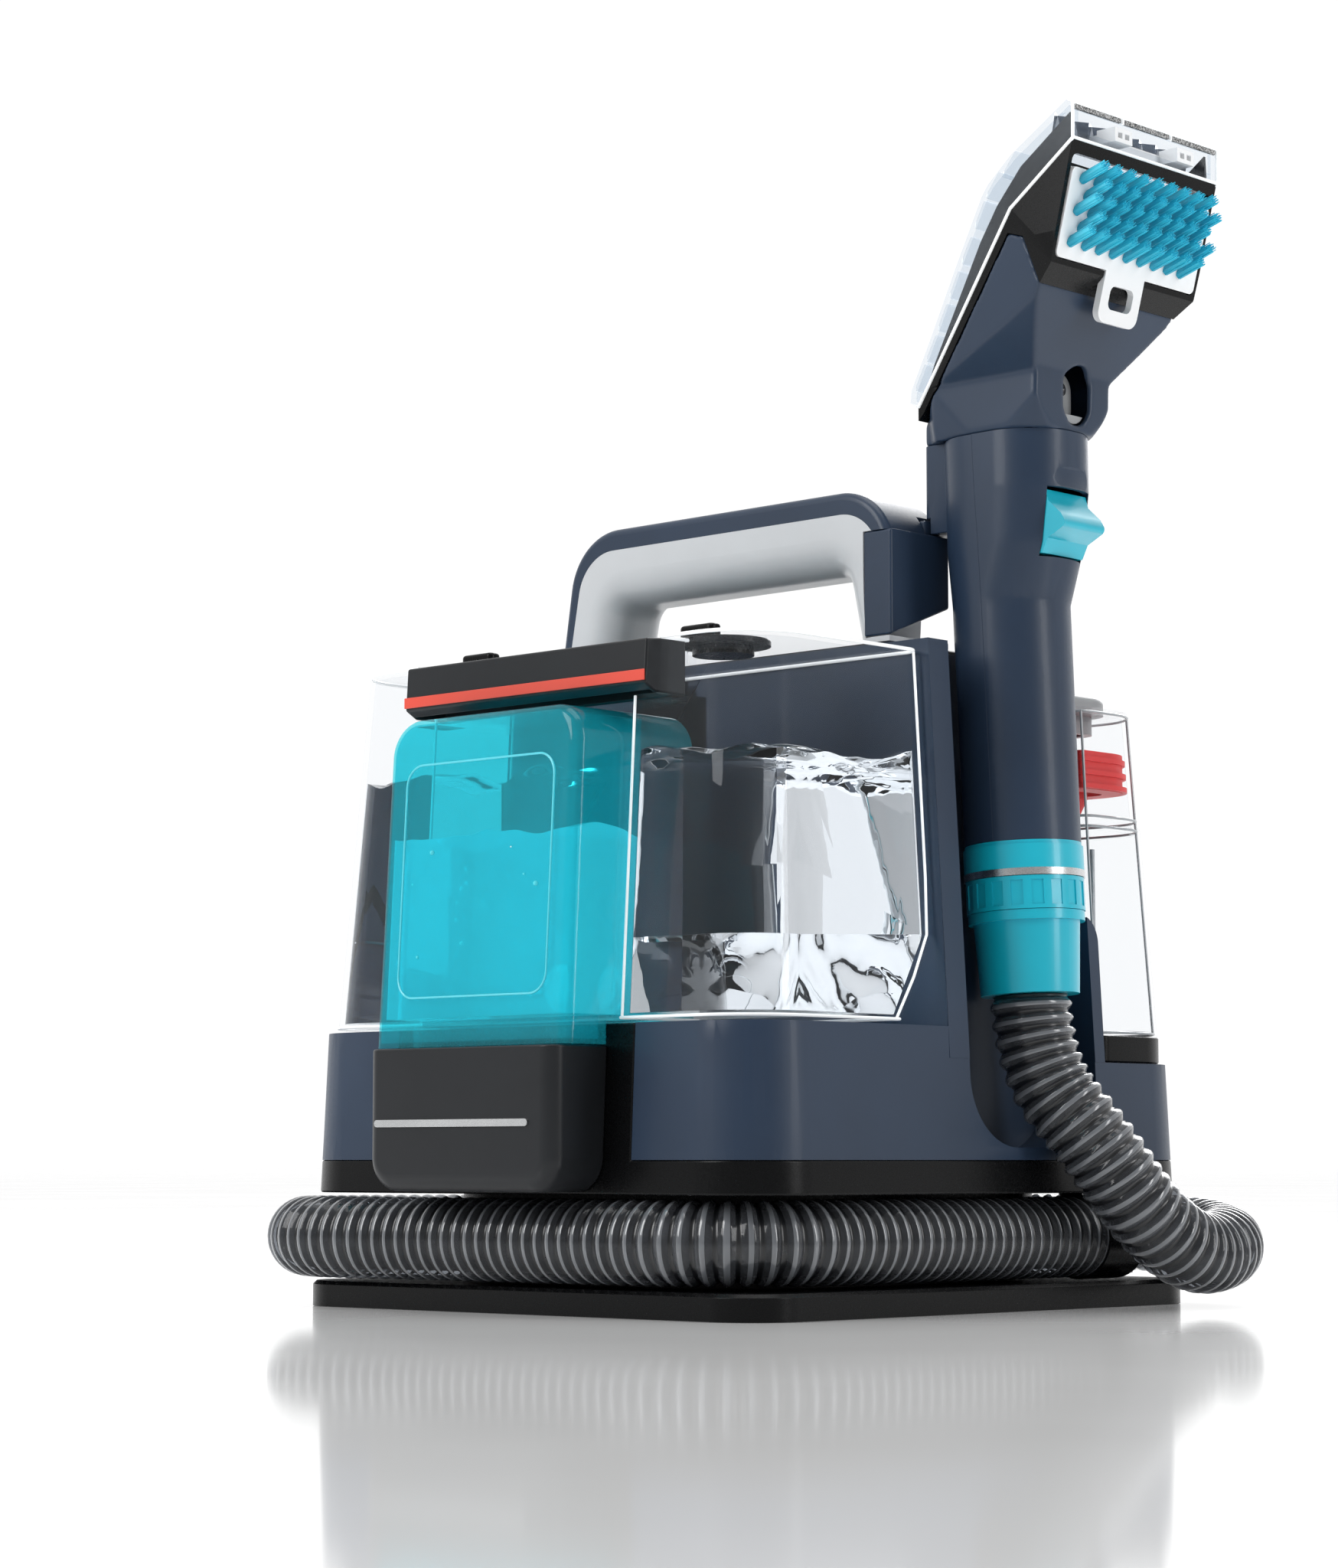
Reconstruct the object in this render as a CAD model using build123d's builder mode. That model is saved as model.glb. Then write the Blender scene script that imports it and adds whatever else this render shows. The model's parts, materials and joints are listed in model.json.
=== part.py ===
"""A portable carpet spot cleaner: tanks, motor housing, hand tool and wrapped hose.

Units are millimetres. +Z is up, the front with its badge pod faces -Y and the hand tool
docks on the +X side. The origin is the middle of the base plate's underside.
"""

import os
from math import atan2, cos, pi, radians, sin, tan

from build123d import *

os.makedirs("parts", exist_ok=True)

# ---------------------------------------------------------------- driving dimensions
PLATE_X, PLATE_Y, PLATE_R = 137.5, 147.5, 25  # half sizes and corner radius of the base plate
PLATE_T = 11
GROOVE_TOP = 49  # the hose groove is between the plate and this height
SEAM_Z = 63  # top of the black band, bottom of the coloured casing
DECK_Z = 118  # the front tanks stand on this deck
REAR_DECK_Z = 105  # the rear tank stands on this lower deck
BODY_X, BODY_Y, BODY_R = 138, 148, 34  # half sizes of the body just above the groove
BODY_DRAFT = 2.5
WALL = 3
FIT = 0.3  # gap between parts that move past each other

SPINE_FRONT, SPINE_BACK = -26, 62
SPINE_TOP = 281
WING_BACK, WING_TOP = 80, 169  # low side wings behind the spine
SPINE_FOOT_X, SPINE_HEAD_X = 135, 125.5

HOSE_OD = 35
HOSE_Z = 30

TOOL_Y = 31
LEAN = 2.9  # the docked tool leans towards the body
TOOL_X, TOOL_Z = 130.3, 194  # a point on the tool's axis, at its collar
SHELL = 2.6  # wall of the tool's shells

MOTOR_X, MOTOR_Y = -30, 18

PIPE_X, PIPE_Y, PIPE_R = 62, 100, 13  # the dirty water's way up into the recovery tank
GRILLE_Y, GRILLE_Z = (-40, 40), (72, 104)  # exhaust window in the left side
HOOK_Y, HOOK_HIGH_Z, HOOK_LOW_Z, STEM_R = 18, 240, 140, 5
GLAND_X, GLAND_Z, GLAND_R = -88, 80, 8
RISER_X, RISER_Y, RISER_R = 113, 102, 16  # the hose inlet rises through the floor here

tool_plane = Plane(
    origin=(TOOL_X, TOOL_Y, TOOL_Z),
    x_dir=(0, 1, 0),
    z_dir=(cos(radians(LEAN)), 0, sin(radians(LEAN))),
)
axis_plane = Plane(
    origin=(TOOL_X, TOOL_Y, TOOL_Z),
    x_dir=(cos(radians(LEAN)), 0, sin(radians(LEAN))),
    z_dir=(-sin(radians(LEAN)), 0, cos(radians(LEAN))),
)


# ---------------------------------------------------------------- helpers
def finish(part, name):
    """Label a finished piece and write its STEP file."""
    part.label = name
    export_step(part, f"parts/{name}.step")


def block(x0, x1, y0, y1, z0, z1):
    """A plain block between two corners."""
    with BuildPart() as made:
        with BuildSketch(Plane.XY.offset(z0)):
            with Locations(((x0 + x1) / 2, (y0 + y1) / 2)):
                Rectangle(x1 - x0, y1 - y0)
        extrude(amount=z1 - z0)
    return made.part


def rounded_block(half_x, half_y, radius, z0, z1, centre=(0, 0), draft=0):
    """A rounded rectangular block that draws in by the draft angle as it rises."""
    with BuildPart() as made:
        with BuildSketch(Plane.XY.offset(z0)):
            with Locations(centre):
                RectangleRounded(2 * half_x, 2 * half_y, radius)
        extrude(amount=z1 - z0, taper=draft)
    return made.part


def cylinder(x, y, z0, z1, radius):
    """An upright cylinder."""
    with BuildPart() as made:
        with BuildSketch(Plane.XY.offset(z0)):
            with Locations((x, y)):
                Circle(radius)
        extrude(amount=z1 - z0)
    return made.part


def side_prism(points, y0, y1):
    """A prism whose outline is given in X and Z, between two values of Y."""
    with BuildPart() as made:
        with BuildSketch(Plane.XZ.offset(-y1)):
            with BuildLine():
                Polyline(*points, close=True)
            make_face()
        extrude(amount=y1 - y0)
    return made.part


def front_prism(points, x0, x1):
    """A prism whose outline is given in Y and Z, between two values of X."""
    with BuildPart() as made:
        with BuildSketch(Plane.YZ.offset(x0)):
            with BuildLine():
                Polyline(*points, close=True)
            make_face()
        extrude(amount=x1 - x0)
    return made.part


def body_half(z, inset=0):
    """Half sizes of the drafted body at a height."""
    drawn_in = (z - GROOVE_TOP) * tan(radians(BODY_DRAFT)) + inset
    return BODY_X - drawn_in, BODY_Y - drawn_in, BODY_R - drawn_in


def body_slice(z0, z1, inset=0):
    """The drafted body between two heights."""
    half_x, half_y, radius = body_half(z0, inset)
    return rounded_block(half_x, half_y, radius, z0, z1, draft=BODY_DRAFT)


# ---------------------------------------------------------------- base
PAD_SPOTS = [(sx * 108, sy * 118) for sx in (-1, 1) for sy in (-1, 1)]
PAD_R, PAD_T = 13, 3
SCREW_SPOTS = [(sx * 74, y) for sx in (-1, 1) for y in (-84, 0, 84)]
SCREW_R, SCREW_HEAD_R, SCREW_HEAD_T, SCREW_SINK = 2, 3.9, 2.6, 1.2

with BuildPart() as base_plate:
    with BuildSketch():
        RectangleRounded(2 * PLATE_X, 2 * PLATE_Y, PLATE_R)
    extrude(amount=PLATE_T)
    chamfer(base_plate.faces().sort_by(Axis.Z)[-1].edges(), 1.6)
    with BuildSketch():
        with Locations(*PAD_SPOTS):
            Circle(PAD_R + FIT)
    extrude(amount=PAD_T, mode=Mode.SUBTRACT)
    with BuildSketch():
        with Locations(*SCREW_SPOTS):
            Circle(SCREW_HEAD_R + FIT)
    extrude(amount=SCREW_SINK + SCREW_HEAD_T, mode=Mode.SUBTRACT)
    with BuildSketch():
        with Locations(*SCREW_SPOTS):
            Circle(SCREW_R + 0.05)
    extrude(amount=PLATE_T, mode=Mode.SUBTRACT)
finish(base_plate.part, "base_plate")

with BuildPart() as foot_pads:
    with BuildSketch():
        with Locations(*PAD_SPOTS):
            Circle(PAD_R)
    extrude(amount=PAD_T)
finish(foot_pads.part, "foot_pads")

CORE_X, CORE_Y, CORE_R, CORE_WALL = 99, 109, 52, 4
with BuildPart() as groove_core:
    add(rounded_block(CORE_X, CORE_Y, CORE_R, PLATE_T, GROOVE_TOP))
    add(
        rounded_block(CORE_X - CORE_WALL, CORE_Y - CORE_WALL, CORE_R - CORE_WALL, 15, GROOVE_TOP),
        mode=Mode.SUBTRACT,
    )
    with BuildSketch(Plane.XY.offset(15)):
        with Locations(*SCREW_SPOTS):
            Circle(6)
    extrude(amount=20)
    with BuildSketch(Plane.XY.offset(PLATE_T)):
        with Locations(*SCREW_SPOTS):
            Circle(SCREW_R + 0.05)
    extrude(amount=20, mode=Mode.SUBTRACT)
finish(groove_core.part, "groove_core")

with BuildPart() as base_screws:
    with BuildSketch(Plane.XY.offset(SCREW_SINK)):
        with Locations(*SCREW_SPOTS):
            Circle(SCREW_HEAD_R)
    extrude(amount=SCREW_HEAD_T)
    with BuildSketch(Plane.XY.offset(SCREW_SINK + SCREW_HEAD_T)):
        with Locations(*SCREW_SPOTS):
            Circle(SCREW_R)
    extrude(amount=25)
    with BuildSketch(Plane.XY.offset(SCREW_SINK)):
        with Locations(*SCREW_SPOTS):
            RegularPolygon(1.6, 6)
    extrude(amount=1.4, mode=Mode.SUBTRACT)
finish(base_screws.part, "base_screws")

# ---------------------------------------------------------------- lower housing and casings
FRAME_X = 70  # half width of the black front frame between the coloured casings
FRAME_BACK = -60

with BuildPart() as lower_housing:
    add(body_slice(GROOVE_TOP, SEAM_Z))
    add(body_slice(GROOVE_TOP + WALL, SEAM_Z, WALL), mode=Mode.SUBTRACT)
    frame = body_slice(SEAM_Z, DECK_Z) & block(-FRAME_X, FRAME_X, -200, FRAME_BACK, SEAM_Z, DECK_Z)
    inside = body_slice(SEAM_Z, DECK_Z - WALL, WALL) & block(
        WALL - FRAME_X, FRAME_X - WALL, -200, FRAME_BACK, SEAM_Z, DECK_Z - WALL
    )
    add(frame)
    add(inside, mode=Mode.SUBTRACT)
    add(cylinder(RISER_X, RISER_Y, 0, 60, RISER_R + FIT), mode=Mode.SUBTRACT)
finish(lower_housing.part, "lower_housing")

POD_X, POD_FRONT, POD_BOTTOM, POD_TOP = 55, -177.5, 50, 109
POD_BACK = -144
with BuildPart() as front_pod:
    with BuildSketch(Plane.XZ.offset(-POD_BACK)):
        with BuildLine():
            Polyline(
                (-POD_X, POD_TOP),
                (-POD_X, POD_BOTTOM),
                (POD_X, POD_BOTTOM),
                (POD_X, POD_TOP),
                close=True,
            )
        pod_face = make_face()
        fillet(pod_face.vertices().group_by(Axis.Y)[0], 14)
    extrude(amount=POD_BACK - POD_FRONT)
    fillet(front_pod.faces().sort_by(Axis.Y)[0].edges().filter_by(lambda e: e.center().Z < 108), 7)
    with BuildSketch(Plane.XZ.offset(-POD_BACK)):
        with Locations((0, (POD_TOP + POD_BOTTOM) / 2 + 1)):
            RectangleRounded(2 * POD_X - 8, POD_TOP - POD_BOTTOM - 8, 10)
    extrude(amount=POD_BACK - POD_FRONT - WALL, mode=Mode.SUBTRACT)
    add(body_slice(GROOVE_TOP, DECK_Z, -0.1), mode=Mode.SUBTRACT)
finish(front_pod.part, "front_pod")

BAR_CENTRE_X, BAR_LENGTH, BAR_HEIGHT = -3.5, 91, 3
with BuildPart() as pod_trim_bar:
    with BuildSketch(Plane.XZ.offset(-POD_FRONT)):
        with Locations((BAR_CENTRE_X, 78)):
            SlotOverall(BAR_LENGTH, BAR_HEIGHT)
    extrude(amount=0.8)
finish(pod_trim_bar.part, "pod_trim_bar")


def spine_block(y0, y1, z0, z1, inset=0):
    """The tapered spine between two values of Y, its sides drawn in as it rises."""
    rise = (SPINE_FOOT_X - SPINE_HEAD_X) / (SPINE_TOP - DECK_Z)
    low = SPINE_FOOT_X - (z0 - DECK_Z) * rise - inset
    high = SPINE_FOOT_X - (z1 - DECK_Z) * rise - inset
    return side_prism([(-low, z0), (low, z0), (high, z1), (-high, z1)], y0, y1)


def dock_channel(grow=0):
    """The channel in the right side that the docked tool and its hose end hang in."""
    with BuildPart() as made:
        with BuildSketch(tool_plane.offset(-27.5 - grow)):
            with Locations((-1, 20)):
                RectangleRounded(2 * (43 + grow), 2 * (146 + grow), 30 + grow)
        extrude(amount=80)
    return made.part


def wing_outline(inset=0):
    """A prism across the body whose side view is a low wing with a rounded top corner."""
    with BuildPart() as made:
        with BuildSketch(Plane.YZ.offset(-200)):
            with BuildLine():
                Polyline(
                    (SPINE_BACK - WALL, 60),
                    (WING_BACK - inset, 60),
                    (WING_BACK - inset, WING_TOP - inset),
                    (SPINE_BACK - WALL, WING_TOP - inset),
                    close=True,
                )
            wing = make_face()
            fillet(wing.vertices().sort_by(lambda v: v.Y + v.X)[-1], 12)
        extrude(amount=400)
    return made.part


with BuildPart() as casing:
    add(body_slice(SEAM_Z, DECK_Z))
    add(block(-200, 200, WING_BACK, 200, REAR_DECK_Z, 200), mode=Mode.SUBTRACT)
    add(spine_block(SPINE_FRONT, SPINE_BACK, REAR_DECK_Z, SPINE_TOP))
    add(spine_block(SPINE_BACK, WING_BACK, REAR_DECK_Z, WING_TOP) & wing_outline())
    with BuildPart(mode=Mode.PRIVATE) as hollow:
        add(body_slice(SEAM_Z, DECK_Z - WALL, WALL))
        add(
            block(-200, 200, WING_BACK - WALL, 200, REAR_DECK_Z - WALL, 200), mode=Mode.SUBTRACT
        )
        add(spine_block(SPINE_FRONT + WALL, SPINE_BACK - WALL, 90, SPINE_TOP - WALL, WALL))
        add(spine_block(SPINE_BACK - WALL, WING_BACK, 90, WING_TOP, WALL) & wing_outline(WALL))
        add(dock_channel(WALL), mode=Mode.SUBTRACT)
    add(hollow.part, mode=Mode.SUBTRACT)
    add(dock_channel(), mode=Mode.SUBTRACT)
    add(
        block(-FRAME_X - 0.2, FRAME_X + 0.2, -200, FRAME_BACK + 0.2, 0, 200), mode=Mode.SUBTRACT
    )
    add(cylinder(PIPE_X, PIPE_Y, 90, 120, PIPE_R + FIT), mode=Mode.SUBTRACT)
    add(block(-200, -120, *GRILLE_Y, *GRILLE_Z), mode=Mode.SUBTRACT)
    with BuildSketch(Plane.YZ.offset(-160)):
        with Locations((HOOK_Y, HOOK_HIGH_Z), (HOOK_Y, HOOK_LOW_Z)):
            Circle(STEM_R + 0.06)
    extrude(amount=50, mode=Mode.SUBTRACT)
    with BuildSketch(Plane.XZ.offset(-160)):
        with Locations((GLAND_X, GLAND_Z)):
            Circle(GLAND_R + 0.06)
    extrude(amount=30, mode=Mode.SUBTRACT)

for name, x0, x1 in (("casing_right", 0, 200), ("casing_left", -200, 0)):
    with BuildPart() as casing_half:
        add(casing.part)
        add(block(x0, x1, -200, 200, 0, 300), mode=Mode.INTERSECT)
    finish(casing_half.part, name)

# ---------------------------------------------------------------- grille, gland and cord hooks
with BuildPart() as exhaust_grille:
    add(body_slice(SEAM_Z, DECK_Z, 0.2))
    add(body_slice(SEAM_Z, DECK_Z, WALL), mode=Mode.SUBTRACT)
    add(
        block(-200, -120, GRILLE_Y[0] + 0.1, GRILLE_Y[1] - 0.1, GRILLE_Z[0] + 0.1, GRILLE_Z[1] - 0.1),
        mode=Mode.INTERSECT,
    )
    with BuildSketch(Plane.YZ.offset(-150)):
        with Locations((0, (GRILLE_Z[0] + GRILLE_Z[1]) / 2)):
            with GridLocations(24, 5.5, 3, 5):
                SlotOverall(20, 3)
    extrude(amount=30, mode=Mode.SUBTRACT)
finish(exhaust_grille.part, "exhaust_grille")

with BuildPart() as cord_inlet:
    with BuildSketch(Plane.XZ.offset(-157)):
        with Locations((GLAND_X, GLAND_Z)):
            Circle(GLAND_R)
    extrude(amount=22)
    with BuildSketch(Plane.XZ.offset(-141)):
        with Locations((GLAND_X, GLAND_Z)):
            Circle(GLAND_R + 3)
    extrude(amount=2)
    with BuildSketch(Plane.XZ.offset(-158)):
        with Locations((GLAND_X, GLAND_Z)):
            Circle(3.6)
    extrude(amount=30, mode=Mode.SUBTRACT)
    fillet(cord_inlet.faces().sort_by(Axis.Y)[-1].outer_wire().edges(), 2)
finish(cord_inlet.part, "cord_inlet")

for name, hook_z, stem_x, reach in (
    ("cord_hook_upper", HOOK_HIGH_Z, -122, 24),
    ("cord_hook_lower", HOOK_LOW_Z, -127, -24),
):
    with BuildPart() as cord_hook:
        with BuildSketch(Plane.YZ.offset(stem_x - 32)):
            with Locations((HOOK_Y, hook_z)):
                Circle(STEM_R)
        extrude(amount=32)
        with BuildSketch(Plane.YZ.offset(stem_x - 36)):
            with Locations((HOOK_Y, hook_z + reach / 2)):
                RectangleRounded(16, 16 + abs(reach), 7)
        extrude(amount=5)
        with BuildSketch(Plane.YZ.offset(stem_x)):
            with Locations((HOOK_Y, hook_z)):
                Circle(STEM_R + 3)
        extrude(amount=2)
    finish(cord_hook.part, name)

# ---------------------------------------------------------------- top cover and handle
COVER_TOP = SPINE_TOP + 2.5
BUTTON_X, BUTTON_Y, BUTTON_R = -78, 38, 9
BUTTON_Z0, BUTTON_Z1 = 283.2, 288
with BuildPart() as top_cover:
    add(rounded_block(102, 36, 12, SPINE_TOP, COVER_TOP, centre=(-6, 19)))
    with BuildSketch(Plane.XY.offset(SPINE_TOP)):
        with Locations((BUTTON_X, BUTTON_Y)):
            Circle(BUTTON_R + FIT)
    extrude(amount=COVER_TOP - SPINE_TOP, mode=Mode.SUBTRACT)
    chamfer(top_cover.faces().sort_by(Axis.Z)[-1].outer_wire().edges(), 0.8)
finish(top_cover.part, "top_cover")

with BuildPart() as power_button:
    with BuildSketch(Plane.XY.offset(BUTTON_Z0)):
        with Locations((BUTTON_X, BUTTON_Y)):
            Circle(BUTTON_R)
    extrude(amount=BUTTON_Z1 - BUTTON_Z0)
    fillet(power_button.faces().sort_by(Axis.Z)[-1].edges(), 1.2)
finish(power_button.part, "power_button")

HANDLE_FRONT, HANDLE_BACK = -16.5, 23
HANDLE_TOP, HANDLE_FOOT = 351, COVER_TOP
FOOT_X, HEAD_X = 104, 93  # outer half widths of the handle at its foot and its top
RIM_TOP, RIM_SIDE = 10, 6
OPENING_FOOT_X, OPENING_HEAD_X, OPENING_TOP = 74, 67, 316
BLOCK_X0, BLOCK_X1, BLOCK_Z0, BLOCK_Z1 = 82, 97.5, 286, 332


def arch_sketch(foot_x, head_x, top, corner, bottom=HANDLE_FOOT):
    """The handle's outline seen from the front, with rounded top corners."""
    with BuildSketch(Plane.XZ.offset(-HANDLE_BACK)) as made:
        with BuildLine():
            Polyline(
                (-foot_x, bottom), (-head_x, top), (head_x, top), (foot_x, bottom), close=True
            )
        outline = make_face()
        fillet(outline.vertices().group_by(Axis.Y)[-1], corner)
    return made.sketch


DEPTH = HANDLE_BACK - HANDLE_FRONT
CUT_FRONT, CUT_BACK = HANDLE_FRONT - 1, HANDLE_BACK + 1
with BuildPart() as dock_cut:
    add(block(BLOCK_X0 - 0.1, 130, CUT_FRONT, CUT_BACK, BLOCK_Z0 - 0.1, BLOCK_Z1 + 0.1))
    add(block(96.5, 130, CUT_FRONT, CUT_BACK, HANDLE_FOOT - 1, BLOCK_Z0))
    add(block(90, 130, 9.5, CUT_BACK, BLOCK_Z1, HANDLE_TOP + 1))
with BuildPart() as handle_arch:
    extrude(arch_sketch(FOOT_X, HEAD_X, HANDLE_TOP, 30), amount=DEPTH)
    fillet(handle_arch.edges().filter_by(lambda e: abs(e.bounding_box().size.Y) < 0.01).filter_by(
        lambda e: e.center().Z > HANDLE_FOOT + 1), 3.5)
    inner_arch = arch_sketch(FOOT_X - RIM_SIDE, HEAD_X - RIM_SIDE, HANDLE_TOP - RIM_TOP, 22)
    extrude(inner_arch, amount=DEPTH, mode=Mode.SUBTRACT)
    add(dock_cut.part, mode=Mode.SUBTRACT)
finish(handle_arch.part, "handle_arch")

with BuildPart() as handle_liner:
    extrude(inner_arch, amount=DEPTH)
    opening = arch_sketch(OPENING_FOOT_X, OPENING_HEAD_X, OPENING_TOP, 8)
    extrude(opening, amount=DEPTH, mode=Mode.SUBTRACT)
    rim_edges = handle_liner.edges().filter_by(
        lambda e: abs(e.bounding_box().size.Y) < 0.01 and abs(e.center().X) < 75
    ).filter_by(lambda e: HANDLE_FOOT + 1 < e.center().Z < OPENING_TOP + 2)
    fillet(rim_edges, 15)
    add(dock_cut.part, mode=Mode.SUBTRACT)
finish(handle_liner.part, "handle_liner")

with BuildPart() as dock_block:
    add(front_prism(
        [(HANDLE_FRONT, BLOCK_Z0), (HANDLE_BACK, BLOCK_Z0 + 15), (HANDLE_BACK, BLOCK_Z1),
         (HANDLE_FRONT, BLOCK_Z1)], BLOCK_X0, BLOCK_X1))
    add(block(BLOCK_X1 - 7, BLOCK_X1 - 3, 10, 20, BLOCK_Z1, BLOCK_Z1 + 7))
finish(dock_block.part, "dock_block")

# ---------------------------------------------------------------- clean water tank
TANK_Z0, TANK_Z1 = 119.5, 276
TANK_FRONT_LOW, TANK_FRONT_HIGH, TANK_BACK = -142, -133, -26.8
TANK_X_LOW, TANK_X_HIGH = 131.5, 122.3
TANK_CORNER, TANK_REAR_CORNER, TANK_WALL = 30, 8, 2.4
BAY_X, BAY_BACK, BAY_TOP = 59, -96, 252.5
NOTCH_X, NOTCH_BACK = 73, -117


def tank_outline(z, inset):
    """The front tank's plan outline at a height."""
    share = (z - TANK_Z0) / (TANK_Z1 - TANK_Z0)
    half_x = TANK_X_LOW + share * (TANK_X_HIGH - TANK_X_LOW) - inset
    front = TANK_FRONT_LOW + share * (TANK_FRONT_HIGH - TANK_FRONT_LOW) + inset
    back = TANK_BACK - inset
    with BuildSketch(Plane.XY.offset(z)) as made:
        with Locations((0, (front + back) / 2)):
            whole = Rectangle(2 * half_x, back - front)
        fillet(whole.vertices().group_by(Axis.Y)[0], TANK_CORNER - inset)
        fillet(made.vertices().group_by(Axis.Y)[-1], TANK_REAR_CORNER - inset)
    return made.sketch


def tank_body(inset):
    """The front tank as a solid, with its bay for the solution tank and a notch for the bar."""
    z0, z1 = TANK_Z0 + inset, TANK_Z1 - inset
    with BuildPart() as made:
        loft([tank_outline(z0, inset), tank_outline(z1, inset)])
        add(
            block(-BAY_X - inset, BAY_X + inset, -200, BAY_BACK + inset, 0, BAY_TOP + inset),
            mode=Mode.SUBTRACT,
        )
        add(
            block(-NOTCH_X - inset, NOTCH_X + inset, -200, NOTCH_BACK + inset, BAY_TOP - inset, 300),
            mode=Mode.SUBTRACT,
        )
        foot = [(TANK_BACK - 26, 0), (TANK_BACK - 26, TANK_Z0), (TANK_BACK - inset * 1.2 - 1.5, 156),
                (0, 156), (0, 0)]
        add(front_prism([(y - inset * 1.2 if y < 0 else y, z) for y, z in foot], -200, 200),
            mode=Mode.SUBTRACT)
    return made.part


CAP_X, CAP_Y, CAP_R, NECK_R, PLUG_R = 66, -88, 20, 15, 13
DRAIN_Y = -72
with BuildPart() as clean_tank:
    add(tank_body(0))
    fillet(clean_tank.faces().sort_by(Axis.Z)[-1].edges().filter_by(
        lambda e: e.center().Y > NOTCH_BACK + 1 or abs(e.center().X) > NOTCH_X + 1), 1.8)
    add(tank_body(TANK_WALL), mode=Mode.SUBTRACT)
    with BuildSketch(Plane.XY.offset(TANK_Z1 - 5)):
        with Locations((-CAP_X, CAP_Y), (CAP_X, CAP_Y)):
            Circle(NECK_R)
    extrude(amount=10, mode=Mode.SUBTRACT)
    with BuildSketch(Plane.XY.offset(TANK_Z0 - 2)):
        with Locations((0, DRAIN_Y)):
            Circle(9)
    extrude(amount=8, mode=Mode.SUBTRACT)
finish(clean_tank.part, "clean_tank")

with BuildPart() as clean_tank_valve:
    add(cylinder(0, DRAIN_Y, TANK_Z0, TANK_Z0 + 12, 8.9))
    add(cylinder(0, DRAIN_Y, TANK_Z0 + TANK_WALL, TANK_Z0 + 5, 13))
    add(cylinder(0, DRAIN_Y, TANK_Z0, TANK_Z0 + 9, 4), mode=Mode.SUBTRACT)
finish(clean_tank_valve.part, "clean_tank_valve")

for side, x in (("left", -CAP_X), ("right", CAP_X)):
    with BuildPart() as fill_cap:
        add(cylinder(x, CAP_Y, TANK_Z1 + 0.3, TANK_Z1 + 3, CAP_R))
        fillet(fill_cap.faces().sort_by(Axis.Z)[-1].edges(), 1)
        add(cylinder(x, CAP_Y, TANK_Z1 - 3.5, TANK_Z1 + 0.3, PLUG_R))
        with BuildSketch(Plane.XY.offset(TANK_Z1 + 3)):
            with Locations((x, CAP_Y - 14)):
                RectangleRounded(19, 7, 2.5)
        extrude(amount=5.2)
        fillet(fill_cap.faces().sort_by(Axis.Z)[-1].edges(), 1.6)
    finish(fill_cap.part, f"fill_cap_{side}")

STRIPE_Z0, STRIPE_Z1 = 257, 261.6
BAR_FRONT = -141.5
with BuildPart() as tank_bar:
    with BuildSketch(Plane.YZ.offset(-NOTCH_X + 1)):
        with BuildLine():
            Polyline(
                (NOTCH_BACK - 0.1, BAY_TOP + 0.2),
                (BAR_FRONT + 6, BAY_TOP + 0.2),
                (BAR_FRONT, 256),
                (BAR_FRONT + 1.2, 274.5),
                (NOTCH_BACK - 0.1, 276.5),
                close=True,
            )
        make_face()
    extrude(amount=2 * NOTCH_X - 2)
    add(block(-NOTCH_X + 3, NOTCH_X - 3, BAR_FRONT + 5, NOTCH_BACK - 2, BAY_TOP, 272.5), mode=Mode.SUBTRACT)
finish(tank_bar.part, "tank_bar")

with BuildPart() as bar_stripe:
    add(block(-NOTCH_X + 1, NOTCH_X - 1, BAR_FRONT - 0.6, BAR_FRONT, STRIPE_Z0, STRIPE_Z1))
finish(bar_stripe.part, "bar_stripe")

# ---------------------------------------------------------------- solution tank
SOL_X, SOL_TOP, SOL_STEP = 57.5, 248, 119
SOL_FRONT_LOW, SOL_FRONT_HIGH, SOL_BACK = -171.5, -163.5, -97
SOL_WALL = 2.2
VALVE_Z = 134


def solution_body(inset):
    """The solution tank as a solid: rounded top corners, sloped front and a step below."""
    half_x, top = SOL_X - inset, SOL_TOP - inset
    with BuildPart() as made:
        with BuildSketch(Plane.XZ.offset(-SOL_BACK + inset)):
            with BuildLine():
                Polyline((-half_x, 60), (1 - half_x, top), (half_x - 1, top), (half_x, 60), close=True)
            face = make_face()
            fillet(face.vertices().group_by(Axis.Y)[-1], 16 - inset)
        extrude(amount=120)
        outline = [
            (SOL_FRONT_LOW + inset, POD_TOP + 0.4 + inset),
            (SOL_FRONT_HIGH + inset, SOL_TOP + 5),
            (SOL_BACK - inset, SOL_TOP + 5),
            (SOL_BACK - inset, SOL_STEP + inset),
            (-148.8 - inset, SOL_STEP + inset),
            (-148.8 - inset, POD_TOP + 0.4 + inset),
        ]
        add(front_prism(outline, -100, 100), mode=Mode.INTERSECT)
    return made.part


with BuildPart() as solution_tank:
    add(solution_body(0))
    fillet(solution_tank.edges().filter_by(
        lambda e: e.center().Y < SOL_FRONT_HIGH + 1 and e.bounding_box().size.Z > 1), 5)
    add(solution_body(SOL_WALL), mode=Mode.SUBTRACT)
    with BuildSketch(Plane.XZ.offset(-SOL_BACK - 5)):
        with Locations((0, VALVE_Z)):
            Circle(7)
    extrude(amount=10, mode=Mode.SUBTRACT)
finish(solution_tank.part, "solution_tank")

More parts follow.
